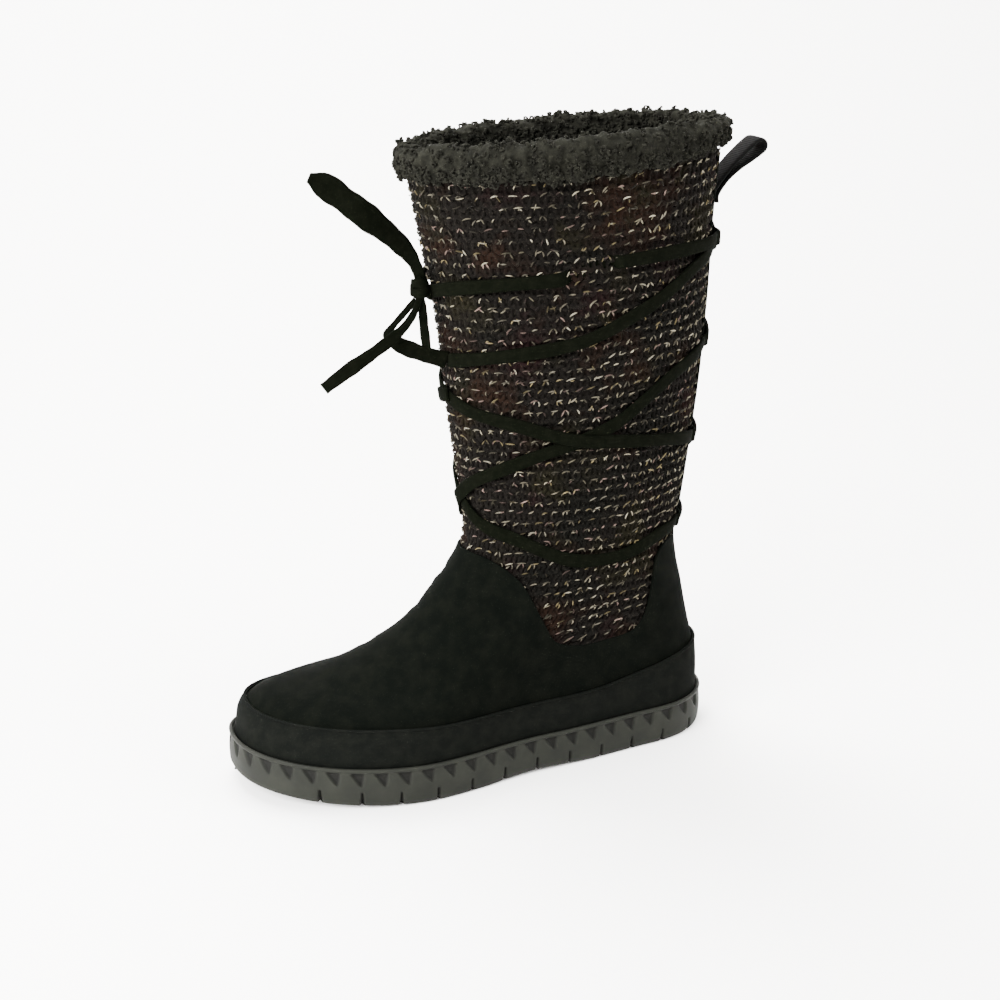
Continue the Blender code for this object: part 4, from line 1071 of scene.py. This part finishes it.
# ---- cuff: a lumpy roll of pile over the collar, covered in small curls
cuff = {
    "depth": 4.0 * mm, "crest": 4.5 * mm, "outerCrest": 5.5 * mm, "wall": 3.2 * mm,
    "droop": 1.5 * mm, "columns": 640, "places": 60, "curls": 2600, "curlRadius": 1.0 * mm,
    "curlRise": 1.2 * mm, "curlStand": 0.25 * mm, "hair": 0.62 * mm,
}


def cuffProfile(turn, place):  # turn round the boot, place from the outer foot over the crest
    place = np.asarray(place, float)
    angleTop = angleAt(topLevel, turn)
    levels = np.interp(place, (0, 0.12, 0.46, 0.54, 0.88, 1), (-0.12, 0.1, 1, 1, 0.1, -0.12))
    reach = 0.26 - 0.12 * ease((np.cos(angleTop) - 0.2) / 0.7)  # the band narrows at the heel
    level = topLevel - reach * (1 - np.clip(levels, 0, 1))
    outside = formPoint(level, angleTop)
    normal = formNormal(topLevel - 0.05, angleTop)
    depth = np.interp(place, (0, 0.1, 0.42, 0.5, 0.58, 0.9, 1),
                      (0.2, 1.0, 1.0, 0, -1.0, -1.0, -0.2)) * cuff["depth"]
    depth = depth - cuff["wall"] * np.interp(place, (0, 0.42, 0.58, 1), (0, 0, 1, 1))
    crest = cuff["crest"] + cuff["outerCrest"] * np.clip(np.sin(angleTop), 0, 1) ** 0.7
    crest = crest * np.exp(-((place - 0.5) / 0.13) ** 2)
    droop = np.exp(-(place / 0.08) ** 2) + np.exp(-((place - 1) / 0.08) ** 2)
    spot = outside + normal * depth[..., None]
    spot[..., 2] += crest - cuff["droop"] * droop
    return spot, normal


def lumps(points, scale, seed):
    return np.array([noise.noise(Vector(p) / scale + Vector((seed, seed, seed)))
                     for p in points.reshape(-1, 3)]).reshape(points.shape[:-1])


def buildCuff():
    turns = np.linspace(0, 1, cuff["columns"] + 1)
    places = np.linspace(0, 1, cuff["places"])
    profiles = [cuffProfile(turns, np.full_like(turns, place)) for place in places]
    ring = np.array([spots for spots, _ in profiles])
    out = unit(np.cross(np.gradient(ring, axis=1), np.gradient(ring, axis=0)))
    if out[10, 10] @ profiles[10][1][10] < 0:  # low on the outer side it points out of the shaft
        out = -out
    push = 2.4 * lumps(ring, 7 * mm, 3.0) - 2.2 * np.abs(lumps(ring, 4.2 * mm, 9.0)) + 0.6
    push = push + 0.8 * lumps(ring, 2.2 * mm, 4.0)
    ring = ring + out * (push * mm)[..., None]
    ring[:, -1] = ring[:, 0]
    body = wrapped("pileRoll", np.concatenate((ring, ring[:1])))
    finishPiece(body, pile, "pile", "fur_cuff")
    lines = []
    for _ in range(cuff["curls"]):
        turn = dice.random()
        place = dice.uniform(0.02, 0.98)
        column = int(turn * cuff["columns"])
        row = int(place * (len(places) - 1))
        spot = ring[row, column]
        normal = out[row, column]
        axis = unit(dice.standard_normal(3) + normal * 0.3)
        first = unit(np.cross(axis, normal))
        second = np.cross(axis, first)
        radius = cuff["curlRadius"] * dice.uniform(0.6, 1.15)
        t = np.linspace(0, dice.uniform(1.0, 1.4) * 2 * np.pi, 8)
        swirl = (np.outer(np.cos(t), first) + np.outer(np.sin(t), second)) * radius
        climb = np.outer(t / 6.3 * cuff["curlRise"], axis)
        lines.append(spot + normal * cuff["curlStand"] + swirl + climb)
    curls = strands("pileCurls", lines, cuff["hair"], 4)
    finishPiece(curls, pile, "pile", "fur_cuff")


buildCuff()
print("cuff made")

# ---- footbed
insoleSizes = {
    "inset": 4.1 * mm,
    # from the middle of the underside over the edge to the top: reach and height in mm
    "profile": ((-9, 0), (0, 0), (0.0, 3.2), (-0.3, 3.8), (-1.0, 4.0), (-6, 3.9), (-14, 3.6),
                (-24, 3.5)),
}


def buildInsole():
    turns = np.linspace(0, 1, 241)
    angles = angleAt(0.0, turns)
    base, normal = formPoint(0.0, angles), formNormal(0.0, angles)
    rings = []
    for grow, up in insoleSizes["profile"]:
        spot = base + normal * (grow * mm - insoleSizes["inset"])
        spot[:, 2] = baseHeight(spot[:, 0]) + up * mm
        rings.append(spot)
    bottom, spine = rings[0].copy(), rings[-1].copy()
    for line in (bottom, spine):
        line[:, 1] = 0.5 * (line[:, 1] + line[::-1, 1])
    piece = wrapped("feltFootbed", np.array([bottom] + rings + [spine]))
    finishPiece(piece, felt, "footbed_felt", "insole")


buildInsole()
print("footbed made")

# ---- studio: pale sweep and four soft lights
studio = {
    "nearEnd": -3.0, "sweepStart": 0.55, "sweepRadius": 0.5, "sweepTop": 4.0, "halfWidth": 5,
    # place, aim, size and watts
    "lamps": (
        ((-1.25, -0.75, 1.05), (-0.08, 0, 0.12), 0.9, 120),
        ((0.9, -0.6, 0.9), (-0.06, 0, 0.15), 0.8, 40),
        ((-1.5, -0.1, 0.5), (-0.2, 0, 0.05), 0.6, 55),
        ((-0.2, 0.7, 1.5), (-0.06, 0.1, 0.1), 1.0, 120),
    ),
}


def buildStudio():
    # painted backdrop paper, matt and almost white
    material, tree, shader, place = newMaterial("paleSweep", {
        "Roughness": 0.9, "Specular IOR Level": 0.1})
    haze = mottle(tree, place, {"Scale": 1.2, "Detail": 1.0}, 0, 1, "#fbfaf8", "#fdfcfa")
    tree.links.new(haze, shader.inputs["Base Color"])
    away = Vector((0.3866, 0.8605, 0.0)).normalized()
    side = Vector((away.y, -away.x, 0))
    profile = [(studio["nearEnd"], 0.0), (studio["sweepStart"], 0.0)]
    for turn in np.linspace(0, math.pi / 2, 16)[1:]:
        profile.append((studio["sweepStart"] + studio["sweepRadius"] * math.sin(turn),
                        studio["sweepRadius"] * (1 - math.cos(turn))))
    profile.append((studio["sweepStart"] + studio["sweepRadius"], studio["sweepTop"]))
    rows = [[tuple(away * out + side * step * studio["halfWidth"] + Vector((0, 0, up)))
             for step in (-1, 0, 1)] for out, up in profile]
    bpy.ops.mesh.primitive_grid_add(x_subdivisions=2, y_subdivisions=len(rows) - 1, size=1)
    floor = bpy.context.object
    floor.name = "studioSweep"
    floor.data.vertices.foreach_set("co", np.array(rows).reshape(-1))
    bpy.ops.object.shade_smooth()
    floor.select_set(False)
    floor.data.materials.append(material)
    for spot, aim, size, power in studio["lamps"]:
        direction = Vector(spot) - Vector(aim)
        bpy.ops.object.light_add(type="AREA", location=spot,
                                 rotation=direction.to_track_quat("Z", "Y").to_euler())
        lamp = bpy.context.object
        lamp.data.size = size
        lamp.data.energy = power
    world = bpy.data.worlds.new("studioAir")
    bpy.context.scene.world = world
    world.use_nodes = True
    world.node_tree.nodes["Background"].inputs[0].default_value = linear("#f4f3f1")
    world.node_tree.nodes["Background"].inputs[1].default_value = 2.0


buildStudio()
print("studio lit")
